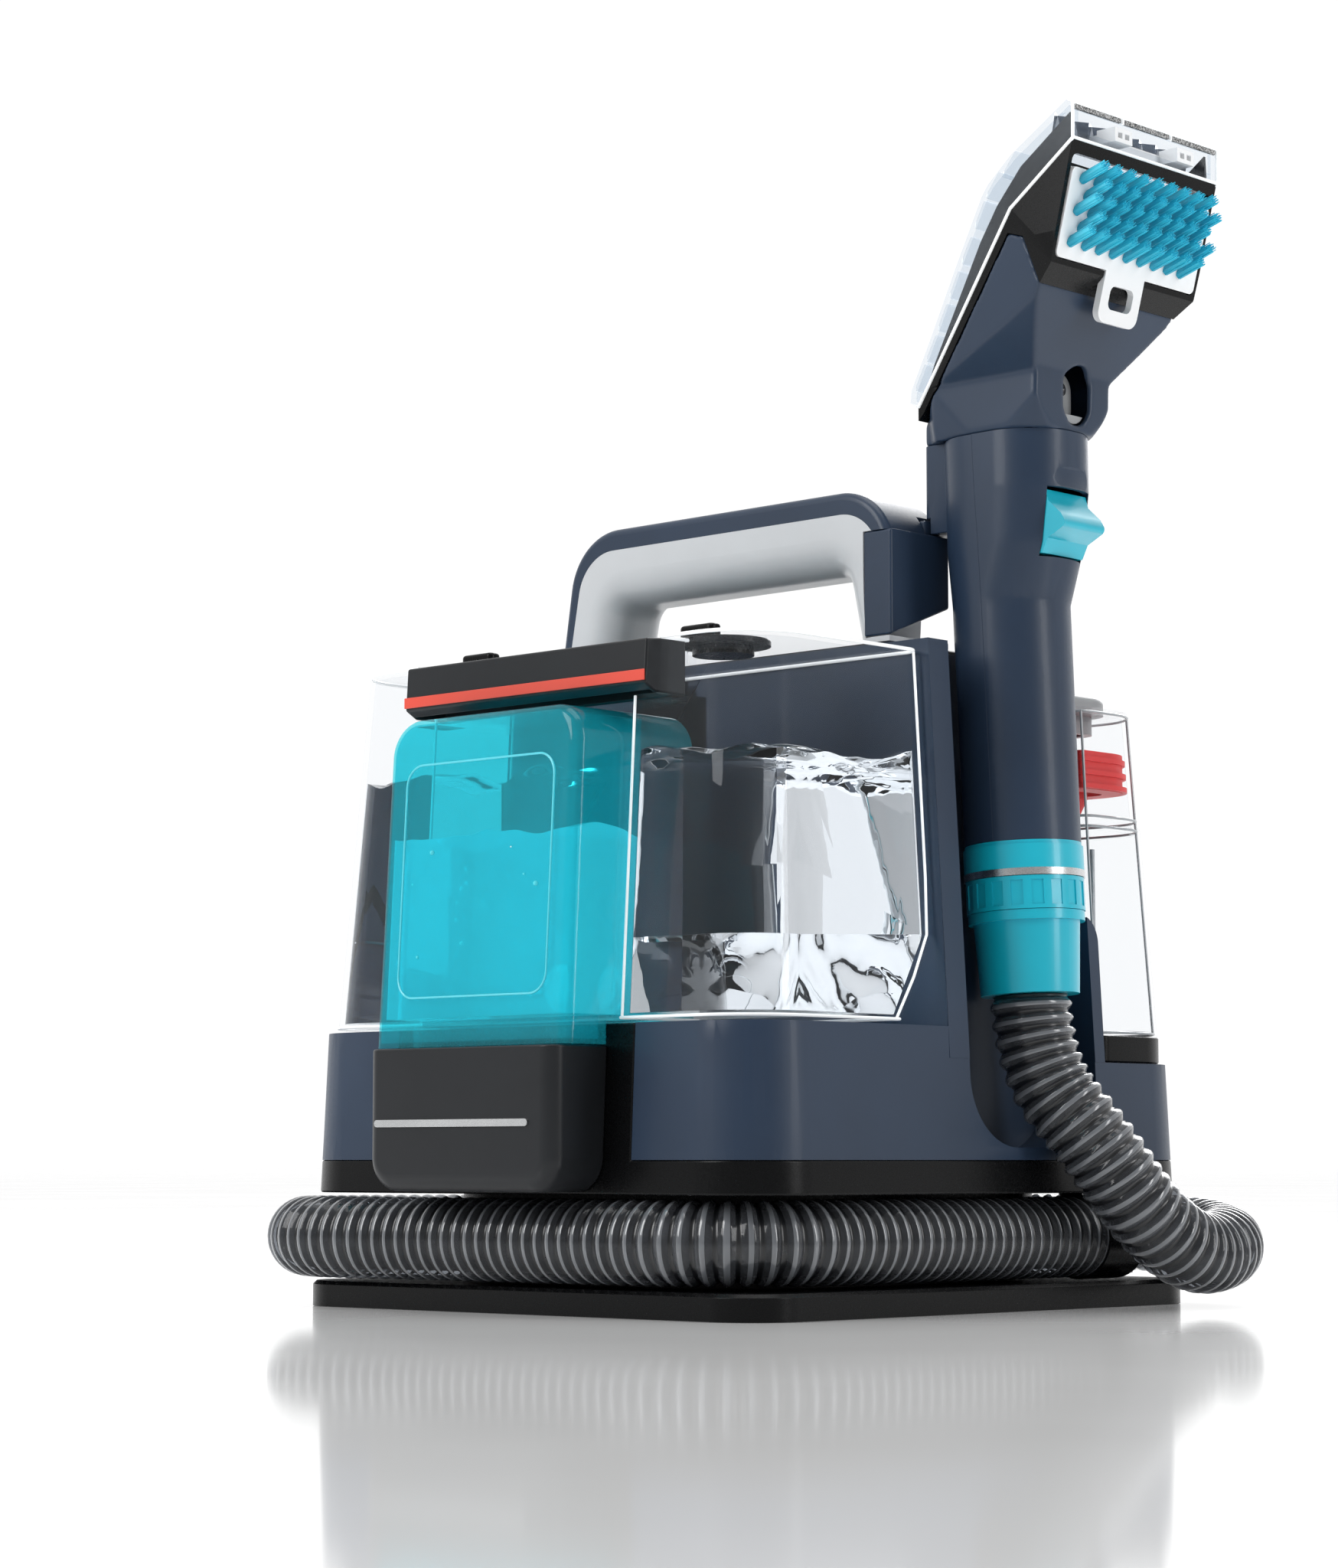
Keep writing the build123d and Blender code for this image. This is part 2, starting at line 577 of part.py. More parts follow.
with BuildPart() as solution_valve:
    with BuildSketch(Plane.XZ.offset(-SOL_BACK)):
        with Locations((0, VALVE_Z)):
            Circle(6.9)
    extrude(amount=7)
    with BuildSketch(Plane.XZ.offset(-SOL_BACK + SOL_WALL)):
        with Locations((0, VALVE_Z)):
            Circle(10)
    extrude(amount=2.5)
finish(solution_valve.part, "solution_valve")

# ---------------------------------------------------------------- recovery tank at the rear
REAR_X_LOW, REAR_X_HIGH = 131, 123.5
REAR_Y0, REAR_Y1_LOW, REAR_Y1_HIGH = 82, 140.5, 133.5
REAR_Z0, REAR_Z1, REAR_STEP = 117, 262, 210
REAR_WALL = 2.4
SHELF_Z, SHELF_Y, SHELF_X = 173, 64.5, 96  # the tank bulges forward above the wings
SEAL_Z0, SEAL_Z1 = 226, 243


def rear_outline(z, inset, wider=0):
    """The recovery tank's plan outline at a height."""
    share = (z - REAR_Z0) / (REAR_Z1 - REAR_Z0)
    half_x = REAR_X_LOW + share * (REAR_X_HIGH - REAR_X_LOW) - inset + wider
    back = REAR_Y1_LOW + share * (REAR_Y1_HIGH - REAR_Y1_LOW) - inset + wider
    front = REAR_Y0 + inset
    with BuildSketch(Plane.XY.offset(z)) as made:
        with Locations((0, (front + back) / 2)):
            whole = Rectangle(2 * half_x, back - front)
        fillet(whole.vertices().group_by(Axis.Y)[-1], 27 - inset)
        fillet(made.vertices().group_by(Axis.Y)[0], 6 - inset)
    return made.sketch


def rear_body(inset):
    """The recovery tank as a solid: wider below its step, with a bulge towards the spine."""
    z0, z1 = REAR_Z0 + inset, REAR_Z1 - inset
    with BuildPart() as made:
        loft([rear_outline(z0, inset, 1.2), rear_outline(REAR_STEP - inset, inset, 1.2)])
        loft([rear_outline(REAR_STEP - inset - 0.1, inset), rear_outline(z1, inset)])
        add(
            rounded_block(
                SHELF_X - inset,
                (100 - SHELF_Y - inset) / 2,
                6 - inset,
                SHELF_Z + inset,
                z1,
                centre=(0, (100 + SHELF_Y + inset) / 2),
            )
        )
    return made.part


with BuildPart() as dirty_tank:
    add(rear_body(0))
    add(rear_body(REAR_WALL), mode=Mode.SUBTRACT)
    add(
        rounded_block(100, 22, 10, REAR_Z1 - 6, REAR_Z1 + 2, centre=(0, 106)), mode=Mode.SUBTRACT
    )
    with BuildSketch(Plane.XY.offset(REAR_Z0 - 2)):
        with Locations((PIPE_X, PIPE_Y)):
            Circle(PIPE_R + FIT)
    extrude(amount=8, mode=Mode.SUBTRACT)
finish(dirty_tank.part, "dirty_tank")

with BuildPart() as dirty_tank_base:
    extrude(rear_outline(REAR_DECK_Z + 0.4, 0.5, 1.2), amount=REAR_Z0 - REAR_DECK_Z - 0.4)
    add(rounded_block(112, 18, 12, REAR_DECK_Z, REAR_Z0 - 3, centre=(0, 111)), mode=Mode.SUBTRACT)
    add(cylinder(PIPE_X, PIPE_Y, REAR_DECK_Z + 0.4, REAR_Z0, PIPE_R + 3))
    add(cylinder(PIPE_X, PIPE_Y, REAR_DECK_Z, REAR_Z0 + 1, PIPE_R + 0.2), mode=Mode.SUBTRACT)
finish(dirty_tank_base.part, "dirty_tank_base")

with BuildPart() as dirty_tank_lid:
    add(rounded_block(99.6, 21.6, 9.6, REAR_Z1 - 8, REAR_Z1, centre=(0, 106)))
    add(rounded_block(108, 25, 14, REAR_Z1, REAR_Z1 + 8, centre=(0, 103)))
    fillet(dirty_tank_lid.faces().sort_by(Axis.Z)[-1].edges(), 3)
    add(rounded_block(96, 18, 8, REAR_Z1 - 9, REAR_Z1 + 5, centre=(0, 106)), mode=Mode.SUBTRACT)
finish(dirty_tank_lid.part, "dirty_tank_lid")

with BuildPart() as standpipe:
    add(cylinder(PIPE_X, PIPE_Y, REAR_DECK_Z + 0.4, 220, PIPE_R))
    add(cylinder(PIPE_X, PIPE_Y, REAR_DECK_Z, 221, PIPE_R - 1.8), mode=Mode.SUBTRACT)
finish(standpipe.part, "standpipe")

SEAL_OPENING_X = 110
with BuildPart() as tank_seal:
    extrude(rear_outline(SEAL_Z1, REAR_WALL + 1.2), amount=SEAL_Z0 - SEAL_Z1)
    for level in (0, 1, 2):
        rib_z = SEAL_Z1 - 2.5 - 6 * level
        extrude(rear_outline(rib_z, REAR_WALL + 0.2), amount=-2.2)
    add(
        rounded_block(SEAL_OPENING_X, 13, 8, SEAL_Z0 - 1, SEAL_Z1 + 1, centre=(0, 106.5)),
        mode=Mode.SUBTRACT,
    )
finish(tank_seal.part, "tank_seal")

FLOAT_X, FLOAT_Y = 96, 108
with BuildPart() as float_piece:
    with BuildSketch(Plane.XZ.offset(-FLOAT_Y)):
        with BuildLine():
            Polyline(
                (FLOAT_X, 207), (FLOAT_X + 4, 214), (FLOAT_X + 8.5, 224), (FLOAT_X + 8.5, 232),
                (FLOAT_X, 232), close=True,
            )
        make_face()
    revolve(axis=Axis((FLOAT_X, FLOAT_Y, 0), (0, 0, 1)))
finish(float_piece.part, "float")

# ---------------------------------------------------------------- motor, fan, pump and ducts
MOTOR_Z0, MOTOR_Z1, MOTOR_R = 132, 196, 34
FAN_Z0, FAN_Z1, FAN_R = 200, 250, 37
SHAFT_R = 4
with BuildPart() as suction_motor:
    add(cylinder(MOTOR_X, MOTOR_Y, MOTOR_Z0, MOTOR_Z1, MOTOR_R))
    fillet(suction_motor.edges().filter_by(GeomType.CIRCLE), 3)
    with BuildSketch(Plane.XY.offset(MOTOR_Z0 + 8)):
        with Locations((MOTOR_X, MOTOR_Y)):
            with PolarLocations(MOTOR_R, 12):
                Rectangle(3, 8)
    extrude(amount=MOTOR_Z1 - MOTOR_Z0 - 16, mode=Mode.SUBTRACT)
    add(cylinder(MOTOR_X, MOTOR_Y, MOTOR_Z0 + 14, MOTOR_Z1 + 1, SHAFT_R + 0.05), mode=Mode.SUBTRACT)
    for x in (MOTOR_X - 28, MOTOR_X + 28):
        add(cylinder(x, MOTOR_Y, GROOVE_TOP + WALL, MOTOR_Z0 + 3, 4))
finish(suction_motor.part, "suction_motor")

with BuildPart() as fan_housing:
    add(cylinder(MOTOR_X, MOTOR_Y, FAN_Z0 - 2, FAN_Z1 + 2, FAN_R + 2))
    add(cylinder(MOTOR_X, MOTOR_Y, FAN_Z0, FAN_Z1, FAN_R), mode=Mode.SUBTRACT)
    add(cylinder(MOTOR_X, MOTOR_Y, FAN_Z0 - 4, FAN_Z0 + 1, SHAFT_R + 3), mode=Mode.SUBTRACT)
    add(cylinder(MOTOR_X, MOTOR_Y, FAN_Z1 - 1, FAN_Z1 + 4, 14), mode=Mode.SUBTRACT)
    with BuildSketch(Plane.XZ.offset(-MOTOR_Y)):
        with Locations((MOTOR_X - 52, 214)):
            Rectangle(30, 22)
    extrude(amount=12, both=True)
    with BuildSketch(Plane.XZ.offset(-MOTOR_Y)):
        with Locations((MOTOR_X - 50, 214)):
            Rectangle(40, 18)
    extrude(amount=10, both=True, mode=Mode.SUBTRACT)
finish(fan_housing.part, "fan_housing")

with BuildPart() as fan_impeller:
    add(cylinder(MOTOR_X, MOTOR_Y, FAN_Z0 + 4, FAN_Z0 + 6, FAN_R - 3))
    add(cylinder(MOTOR_X, MOTOR_Y, FAN_Z0 + 4, FAN_Z0 + 26, 8))
    add(cylinder(MOTOR_X, MOTOR_Y, MOTOR_Z0 + 18, FAN_Z0 + 4, SHAFT_R))
    with BuildSketch(Plane.XY.offset(FAN_Z0 + 6)):
        with Locations((MOTOR_X, MOTOR_Y)):
            with PolarLocations(20, 9, rotate=True):
                Rectangle(26, 2, rotation=25)
    extrude(amount=16)
finish(fan_impeller.part, "fan_impeller")

with BuildPart() as pump:
    add(rounded_block(17, 24, 5, 54, 92, centre=(88, -70)))
    with BuildSketch(Plane.XZ.offset(94)):
        with Locations((88, 74)):
            Circle(14)
    extrude(amount=26)
    add(cylinder(88, -60, 92, 104, 4))
    add(block(74, 102, -92, -48, GROOVE_TOP + WALL, 54))
finish(pump.part, "pump")

with BuildPart() as circuit_board:
    add(block(-96, -94, -100, -10, 58, 104))
    for y, z, size in ((-90, 64, 12), (-70, 64, 14), (-44, 66, 18), (-88, 86, 9), (-60, 88, 8)):
        add(block(-94, -94 + size, y, y + size, z, z + size))
    add(block(-97, -93, -100, -10, GROOVE_TOP + WALL, 58))
finish(circuit_board.part, "circuit_board")

with BuildPart() as air_duct:
    add(cylinder(MOTOR_X, MOTOR_Y, FAN_Z1 + 2.2, 274, 16))
    add(cylinder(MOTOR_X, MOTOR_Y, FAN_Z1, 270, 13.5), mode=Mode.SUBTRACT)
    add(block(MOTOR_X - 14, MOTOR_X + 14, MOTOR_Y, SPINE_BACK - WALL - 0.2, 255, 274))
    add(block(MOTOR_X - 11, MOTOR_X + 11, MOTOR_Y, SPINE_BACK, 258, 271), mode=Mode.SUBTRACT)
finish(air_duct.part, "air_duct")

# ---------------------------------------------------------------- hose inlet and recovery duct
INLET_X, INLET_FACE_Y = 121, 78
with BuildPart() as hose_inlet:
    with BuildSketch(Plane.XZ.offset(-INLET_FACE_Y - 26)):
        with Locations((INLET_X, HOSE_Z)):
            Circle(18.4)
    extrude(amount=26)
    add(cylinder(RISER_X, RISER_Y, 14, 62, RISER_R))
    with BuildSketch(Plane.XZ.offset(-INLET_FACE_Y - 20)):
        with Locations((INLET_X, HOSE_Z)):
            Circle(14.5)
    extrude(amount=30, mode=Mode.SUBTRACT)
    add(cylinder(RISER_X, RISER_Y, 22, 70, RISER_R - 3), mode=Mode.SUBTRACT)
finish(hose_inlet.part, "hose_inlet")

with BuildPart() as recovery_duct:
    add(rounded_block(45, 17.5, 12, 62, 92, centre=((RISER_X + PIPE_X) / 2, 101)))
    add(rounded_block(42.5, 15, 10, 65, 89, centre=((RISER_X + PIPE_X) / 2, 101)), mode=Mode.SUBTRACT)
    add(cylinder(RISER_X, RISER_Y, 60, 70, RISER_R - 3), mode=Mode.SUBTRACT)
    add(cylinder(PIPE_X, PIPE_Y, 92, REAR_DECK_Z + 0.2, PIPE_R))
    add(cylinder(PIPE_X, PIPE_Y, 80, 110, PIPE_R - 2), mode=Mode.SUBTRACT)
finish(recovery_duct.part, "recovery_duct")

# ---------------------------------------------------------------- hand tool: handle shells
# Each station of the handle: height, middle in X, half sizes in X and Y, corner radius
GRIP_STATIONS = [
    (192, 130.3, 24.8, 24.8, 24.5),
    (300, 125.3, 24.8, 24.8, 23.5),
    (324, 127.6, 29.2, 25.2, 23),
    (348, 129.0, 30.8, 26, 24),
    (372, 128.4, 31.2, 26, 24),
]
NOSE_X, NOSE_HALF, NOSE_Z = 91.5, 18, 333  # the shoulder that rests on the dock block
PARTING_X = 3.5  # the shells part this far in front of the tool's axis
TRIGGER_Z0, TRIGGER_Z1, TRIGGER_HALF = 318, 347, 14
PIN_X, PIN_Z, PIN_R = 146, 342, 1.8


def grip_body(inset):
    """The handle of the tool as a solid."""
    with BuildPart() as made:
        outlines = []
        for z, x, half_x, half_y, radius in GRIP_STATIONS:
            with BuildSketch(Plane.XY.offset(z)) as outline:
                with Locations((x, TOOL_Y)):
                    RectangleRounded(2 * (half_x - inset), 2 * (half_y - inset), radius - inset)
            outlines.append(outline.sketch)
        loft(outlines, ruled=True)
        add(
            rounded_block(
                12 - inset, NOSE_HALF - inset, 3.2 - inset, NOSE_Z + inset, 372,
                centre=(NOSE_X + 12, TOOL_Y),
            )
        )
    return made.part


def grip_side(front):
    """The space in front of, or behind, the tilted plane where the shells part."""
    foot = TOOL_X + PARTING_X
    lean = tan(radians(LEAN))
    low, high = foot + 14 * lean, foot - 186 * lean
    far = 220 if front else 50
    return side_prism([(low, 180), (far, 180), (far, 380), (high, 380)], -50, 110)


with BuildPart() as shell_solid:
    add(grip_body(0))
    with BuildSketch(axis_plane.offset(2.5)):
        Circle(40)
    extrude(amount=-20, mode=Mode.SUBTRACT)
shell_solid = shell_solid.part
shell_hollow = grip_body(SHELL)
with BuildPart() as tool_shell_front:
    add(shell_solid)
    add(shell_hollow, mode=Mode.SUBTRACT)
    add(grip_side(True), mode=Mode.INTERSECT)
    with BuildSketch(Plane.XZ.offset(-TOOL_Y)):
        with Locations((166, 351.5)):
            Circle(8)
    extrude(amount=60, both=True, mode=Mode.SUBTRACT)
    add(
        block(140, 200, TOOL_Y - TRIGGER_HALF - FIT, TOOL_Y + TRIGGER_HALF + FIT, TRIGGER_Z0 - FIT,
              TRIGGER_Z1 + FIT), mode=Mode.SUBTRACT)
    for y0, y1 in ((TOOL_Y - 26, TOOL_Y - TRIGGER_HALF - 2), (TOOL_Y + TRIGGER_HALF + 2, TOOL_Y + 26)):
        add(block(PIN_X - 4, PIN_X + 6, y0, y1, PIN_Z - 4, PIN_Z + 4) & shell_solid)
    with BuildSketch(Plane.XZ.offset(-TOOL_Y)):
        with Locations((PIN_X, PIN_Z)):
            Circle(PIN_R + 0.05)
    extrude(amount=20, both=True, mode=Mode.SUBTRACT)
finish(tool_shell_front.part, "tool_shell_front")

with BuildPart() as tool_shell_rear:
    add(shell_solid)
    add(shell_hollow, mode=Mode.SUBTRACT)
    add(grip_side(False), mode=Mode.INTERSECT)
    add(block(BLOCK_X1 - 7.5, BLOCK_X1 - 2.4, TOOL_Y - 40, 22, NOSE_Z - 2, BLOCK_Z1 + 8), mode=Mode.SUBTRACT)
finish(tool_shell_rear.part, "tool_shell_rear")

with BuildPart() as trigger_pin:
    with BuildSketch(Plane.XZ.offset(-TOOL_Y)):
        with Locations((PIN_X, PIN_Z)):
            Circle(PIN_R)
    extrude(amount=19.5, both=True)
finish(trigger_pin.part, "trigger_pin")

with BuildPart() as trigger:
    with BuildSketch(Plane.XZ.offset(-TOOL_Y)):
        with BuildLine():
            Polyline(
                (142, 319), (153, 319), (156, 325), (166, 330), (163, 335), (156.5, 341),
                (155, 346), (142, 346), close=True,
            )
        blade = make_face()
        fillet(blade.vertices().group_by(Axis.X)[-1], 2.5)
    extrude(amount=TRIGGER_HALF, both=True)
    with BuildSketch(Plane.XZ.offset(-TOOL_Y)):
        with Locations((PIN_X, PIN_Z)):
            Circle(PIN_R + 0.05)
    extrude(amount=20, both=True, mode=Mode.SUBTRACT)
finish(trigger.part, "trigger")

with BuildPart() as trigger_spring:
    with BuildLine():
        coil = Helix(2.6, 7.8, 2.6, center=(131, TOOL_Y, 324), direction=(1, 0, 0))
    with BuildSketch(Plane(origin=coil @ 0, z_dir=coil % 0)):
        Circle(0.5)
    sweep()
finish(trigger_spring.part, "trigger_spring")

with BuildPart() as spray_valve:
    add(rounded_block(7, 9, 2, 312, 336, centre=(123.6, TOOL_Y)))
    with BuildSketch(Plane.YZ.offset(130)):
        with Locations((TOOL_Y, 324)):
            Circle(1.6)
    extrude(amount=3)
finish(spray_valve.part, "spray_valve")

# ---------------------------------------------------------------- hand tool: hose end
def ring(u0, u1, outer, inner, draft=0):
    """A ring round the tool's axis."""
    with BuildPart() as made:
        with BuildSketch(axis_plane.offset(u1)):
            Circle(outer)
        extrude(amount=u0 - u1, taper=draft)
        with BuildSketch(axis_plane.offset(u0 - 1)):
            Circle(inner)
        extrude(amount=u1 - u0 + 2, mode=Mode.SUBTRACT)
    return made.part


with BuildPart() as collar_ring:
    add(ring(-9.5, 0.8, 25.6, 17))
    add(ring(0.8, 2.4, 24.9, 17))
finish(collar_ring.part, "collar_ring")

with BuildPart() as silver_ring:
    add(ring(-12.5, -9.5, 25.7, 17))
finish(silver_ring.part, "silver_ring")

with BuildPart() as lock_ring:
    add(ring(-26.7, -12.7, 25.2, 21.5))
    with BuildSketch(axis_plane.offset(-25)):
        with PolarLocations(25.3, 18):
            Rectangle(1.4, 5.2)
    extrude(amount=10.5, mode=Mode.SUBTRACT)
finish(lock_ring.part, "lock_ring")

CUFF_END = -61.5
with BuildPart() as hose_cuff:
    add(ring(-31, -26.9, 24.8, 14.5))
    add(ring(CUFF_END, -31, 22.6, 17.6, draft=3))
    add(ring(-31, -12.7, 21.3, 14.5))
    add(ring(CUFF_END, CUFF_END + 20, 19, 14.5))
finish(hose_cuff.part, "hose_cuff")

# ---------------------------------------------------------------- hand tool: head
HEAD_HALF = 51
TRIM_LOW, TRIM_MID, TRIM_TOP = (93, 388), (166.7, 458.3), (199.5, 482.3)
FRAME_FOOT, FRAME_CORNER = (178.6, 425.5), (187, 432.5)
FACE_TILT = 15
face_plane = Plane(
    origin=(199.5, TOOL_Y, 482.3),
    x_dir=(0, 1, 0),
    z_dir=(cos(radians(FACE_TILT)), 0, -sin(radians(FACE_TILT))),
)
slope_angle = atan2(TRIM_MID[1] - TRIM_LOW[1], TRIM_MID[0] - TRIM_LOW[0])
slope_plane = Plane(
    origin=(TRIM_LOW[0], TOOL_Y, TRIM_LOW[1]),
    x_dir=(0, 1, 0),
    z_dir=(sin(slope_angle), 0, -cos(slope_angle)),
)
SLOPE_LENGTH = (TRIM_MID[0] - TRIM_LOW[0]) / cos(slope_angle)


def head_solid(outline, inset=0):
    """A piece of the head: its side outline, narrowed to the neck from behind and in front."""
    with BuildPart() as made:
        with BuildSketch(Plane.XZ.offset(-TOOL_Y)):
            with BuildLine():
                Polyline(*outline, close=True)
            make_face()
            if inset:
                offset(amount=-inset, mode=Mode.REPLACE)
        extrude(amount=HEAD_HALF - inset, both=True)
        with BuildSketch(Plane.YZ.offset(50)):
            with BuildLine():
                Polyline(
                    (TOOL_Y - 26, 360), (TOOL_Y - 26, 395), (TOOL_Y - 50, 426),
                    (TOOL_Y - HEAD_HALF, 445), (TOOL_Y - HEAD_HALF, 520),
                    (TOOL_Y + HEAD_HALF, 520), (TOOL_Y + HEAD_HALF, 445), (TOOL_Y + 50, 426),
                    (TOOL_Y + 26, 395), (TOOL_Y + 26, 360), close=True,
                )
            make_face()
            if inset:
                offset(amount=-inset, mode=Mode.REPLACE)
        extrude(amount=200, mode=Mode.INTERSECT)
        with BuildSketch(slope_plane):
            with BuildLine():
                Polyline(
                    (-23, -40), (-23, 0), (-HEAD_HALF, SLOPE_LENGTH), (-HEAD_HALF, 200),
                    (HEAD_HALF, 200), (HEAD_HALF, SLOPE_LENGTH), (23, 0), (23, -40), close=True,
                )
            make_face()
            if inset:
                offset(amount=-inset, mode=Mode.REPLACE)
        extrude(amount=120, both=True, mode=Mode.INTERSECT)
    return made.part


SHROUD_OUTLINE = [
    (NOSE_X, 372), (159, 372), (160, 397), FRAME_FOOT, (172, 446), (163, 449),
    (TRIM_LOW[0], 382.5), (NOSE_X, 381),
]
LEVER_Y, LEVER_Z = TOOL_Y + 3, 388
# Each station of the shroud: height, middle in X, half sizes in X and Y, corner radius
SHROUD_STATIONS = [
    (371, 125.7, 34.3, 26, 23),
    (398, 138, 47, 29, 22),
    (430, 137, 60, 52, 18),
    (452, 137, 70, 60, 10),
]


def shroud_solid(inset=0):
    """The shroud: the head's outline with corners rounded to meet the handle."""
    with BuildPart() as made:
        outlines = []
        for z, x, half_x, half_y, radius in SHROUD_STATIONS:
            with BuildSketch(Plane.XY.offset(z)) as outline:
                with Locations((x, TOOL_Y)):
                    RectangleRounded(2 * (half_x - inset), 2 * (half_y - inset), radius - inset)
            outlines.append(outline.sketch)
        loft(outlines, ruled=True)
        add(
            rounded_block(
                12 - inset, NOSE_HALF - inset, 3.2 - inset, 370, 384, centre=(NOSE_X + 12, TOOL_Y)
            )
        )
        add(head_solid(SHROUD_OUTLINE, inset), mode=Mode.INTERSECT)
    return made.part


with BuildPart() as tool_shroud:
    add(shroud_solid())
    add(shroud_solid(SHELL), mode=Mode.SUBTRACT)
    add(block(104, 152, TOOL_Y - 20, TOOL_Y + 20, 371, 376), mode=Mode.SUBTRACT)
    with BuildSketch(Plane.YZ.offset(149)):
        with Locations((LEVER_Y, LEVER_Z)):
            SlotOverall(25, 18, rotation=90)
    extrude(amount=20, mode=Mode.SUBTRACT)
finish(tool_shroud.part, "tool_shroud")

with BuildPart() as release_lever:
    with BuildSketch(Plane.YZ.offset(146)):
        with Locations((LEVER_Y, LEVER_Z)):
            SlotOverall(23.6, 16.6, rotation=90)
    extrude(amount=11)
    add(front_prism([(0, 380), (80, 380), (80, 402), (0, 402)], 150, 160), mode=Mode.SUBTRACT)
    with BuildSketch(Plane.YZ.offset(146)):
        with Locations((LEVER_Y, 392)):
            Circle(1.6)
    extrude(amount=10, mode=Mode.SUBTRACT)
finish(release_lever.part, "release_lever")

with BuildPart() as lever_screw:
    with BuildSketch(Plane.YZ.offset(144)):
        with Locations((LEVER_Y, 392)):
            Circle(1.55)
    extrude(amount=6)
    with BuildSketch(Plane.YZ.offset(150)):
        with Locations((LEVER_Y, 392)):
            Circle(2.8)
    extrude(amount=1.4)
    with BuildSketch(Plane.YZ.offset(151.4)):
        with Locations((LEVER_Y, 392)):
            Rectangle(3.6, 0.8)
            Rectangle(0.8, 3.6)
    extrude(amount=-0.8, mode=Mode.SUBTRACT)
finish(lever_screw.part, "lever_screw")

FRAME_OUTLINE = [
    (TRIM_LOW[0], 382.5), (163, 449), (172, 446), FRAME_FOOT, FRAME_CORNER, TRIM_TOP, TRIM_MID,
    TRIM_LOW,
]
PLATE_HALF, PLATE_V0, PLATE_V1 = 48.2, -48.6, -11
with BuildPart() as head_frame:
    add(head_solid(FRAME_OUTLINE))
    with BuildSketch(face_plane.offset(6)):
        with Locations((0, (PLATE_V0 + PLATE_V1) / 2 + 2.5)):
            RectangleRounded(2 * PLATE_HALF + 0.8, PLATE_V1 - PLATE_V0 + 6, 3)
    extrude(amount=-13, mode=Mode.SUBTRACT)
    with BuildSketch(face_plane.offset(6)):
        with Locations((0, -51)):
            Rectangle(28, 16)
    extrude(amount=-8.4, mode=Mode.SUBTRACT)
finish(head_frame.part, "head_frame")

with BuildPart() as brush_plate:
    with BuildSketch(face_plane.offset(-6.6)):
        with Locations((0, (PLATE_V0 + PLATE_V1) / 2)):
            RectangleRounded(2 * PLATE_HALF, PLATE_V1 - PLATE_V0, 2.6)
    extrude(amount=7.8)
    with BuildSketch(face_plane.offset(-2)):
        with Locations((0, PLATE_V0 - 8.5)):
            RectangleRounded(27, 26, 5)
    extrude(amount=3.2)
    with BuildSketch(face_plane.offset(-8)):
        with Locations((0, PLATE_V0 - 10.5)):
            RectangleRounded(16, 10, 3)
    extrude(amount=12, mode=Mode.SUBTRACT)
finish(brush_plate.part, "brush_plate")

TUFT_R, TUFT_LENGTH, TUFT_LIFT = 2.3, 15, 20
tuft_direction = (cos(radians(TUFT_LIFT - 3)), 0, sin(radians(TUFT_LIFT - 3)))
with BuildPart() as bristle_tufts:
    for row in range(5):
        shift = 2.4 if row % 2 else -2.4
        for column in range(9):
            foot = face_plane.from_local_coords((shift + 9.6 * (column - 4), -15.5 - 6.6 * row, 1.3))
            with BuildSketch(Plane(origin=foot, z_dir=tuft_direction)):
                Circle(TUFT_R)
            extrude(amount=TUFT_LENGTH)
finish(bristle_tufts.part, "bristle_tufts")

NOZZLE_OUTLINE = [
    TRIM_LOW, TRIM_MID, TRIM_TOP, (199.7, 497.6), (196.5, 499), (167, 481), (150, 466.5),
    (128, 441), (108, 417), (90, 396), (88.5, 391),
]
with BuildPart() as nozzle_cover:
    add(head_solid(NOZZLE_OUTLINE))
    add(head_solid(NOZZLE_OUTLINE, 1.8), mode=Mode.SUBTRACT)
    with BuildSketch(Plane.YZ.offset(190)):
        with Locations((TOOL_Y, 490.5)):
            Rectangle(2 * HEAD_HALF - 8, 9)
    extrude(amount=20, mode=Mode.SUBTRACT)
finish(nozzle_cover.part, "nozzle_cover")

with BuildPart() as spray_jets:
    for y in (TOOL_Y - 17, TOOL_Y + 27):
        add(block(191, 200.5, y - 6, y + 6, 486.5, 492.5))
    add(block(187, 191, TOOL_Y - 23, TOOL_Y + 33, 487, 490.6))
    for y in (TOOL_Y - 17, TOOL_Y + 27):
        for side in (-2.4, 2.4):
            with BuildSketch(Plane.YZ.offset(197)):
                with Locations((y + side, 489.5)):
                    Rectangle(3, 2.4)
            extrude(amount=5, mode=Mode.SUBTRACT)
finish(spray_jets.part, "spray_jets")

with BuildPart() as suction_tube:
    with BuildSketch(axis_plane.offset(-12)):
        Circle(12)
    extrude(amount=118)
    with BuildSketch(axis_plane.offset(-13)):
        Circle(10.2)
    extrude(amount=152, mode=Mode.SUBTRACT)
finish(suction_tube.part, "suction_tube")

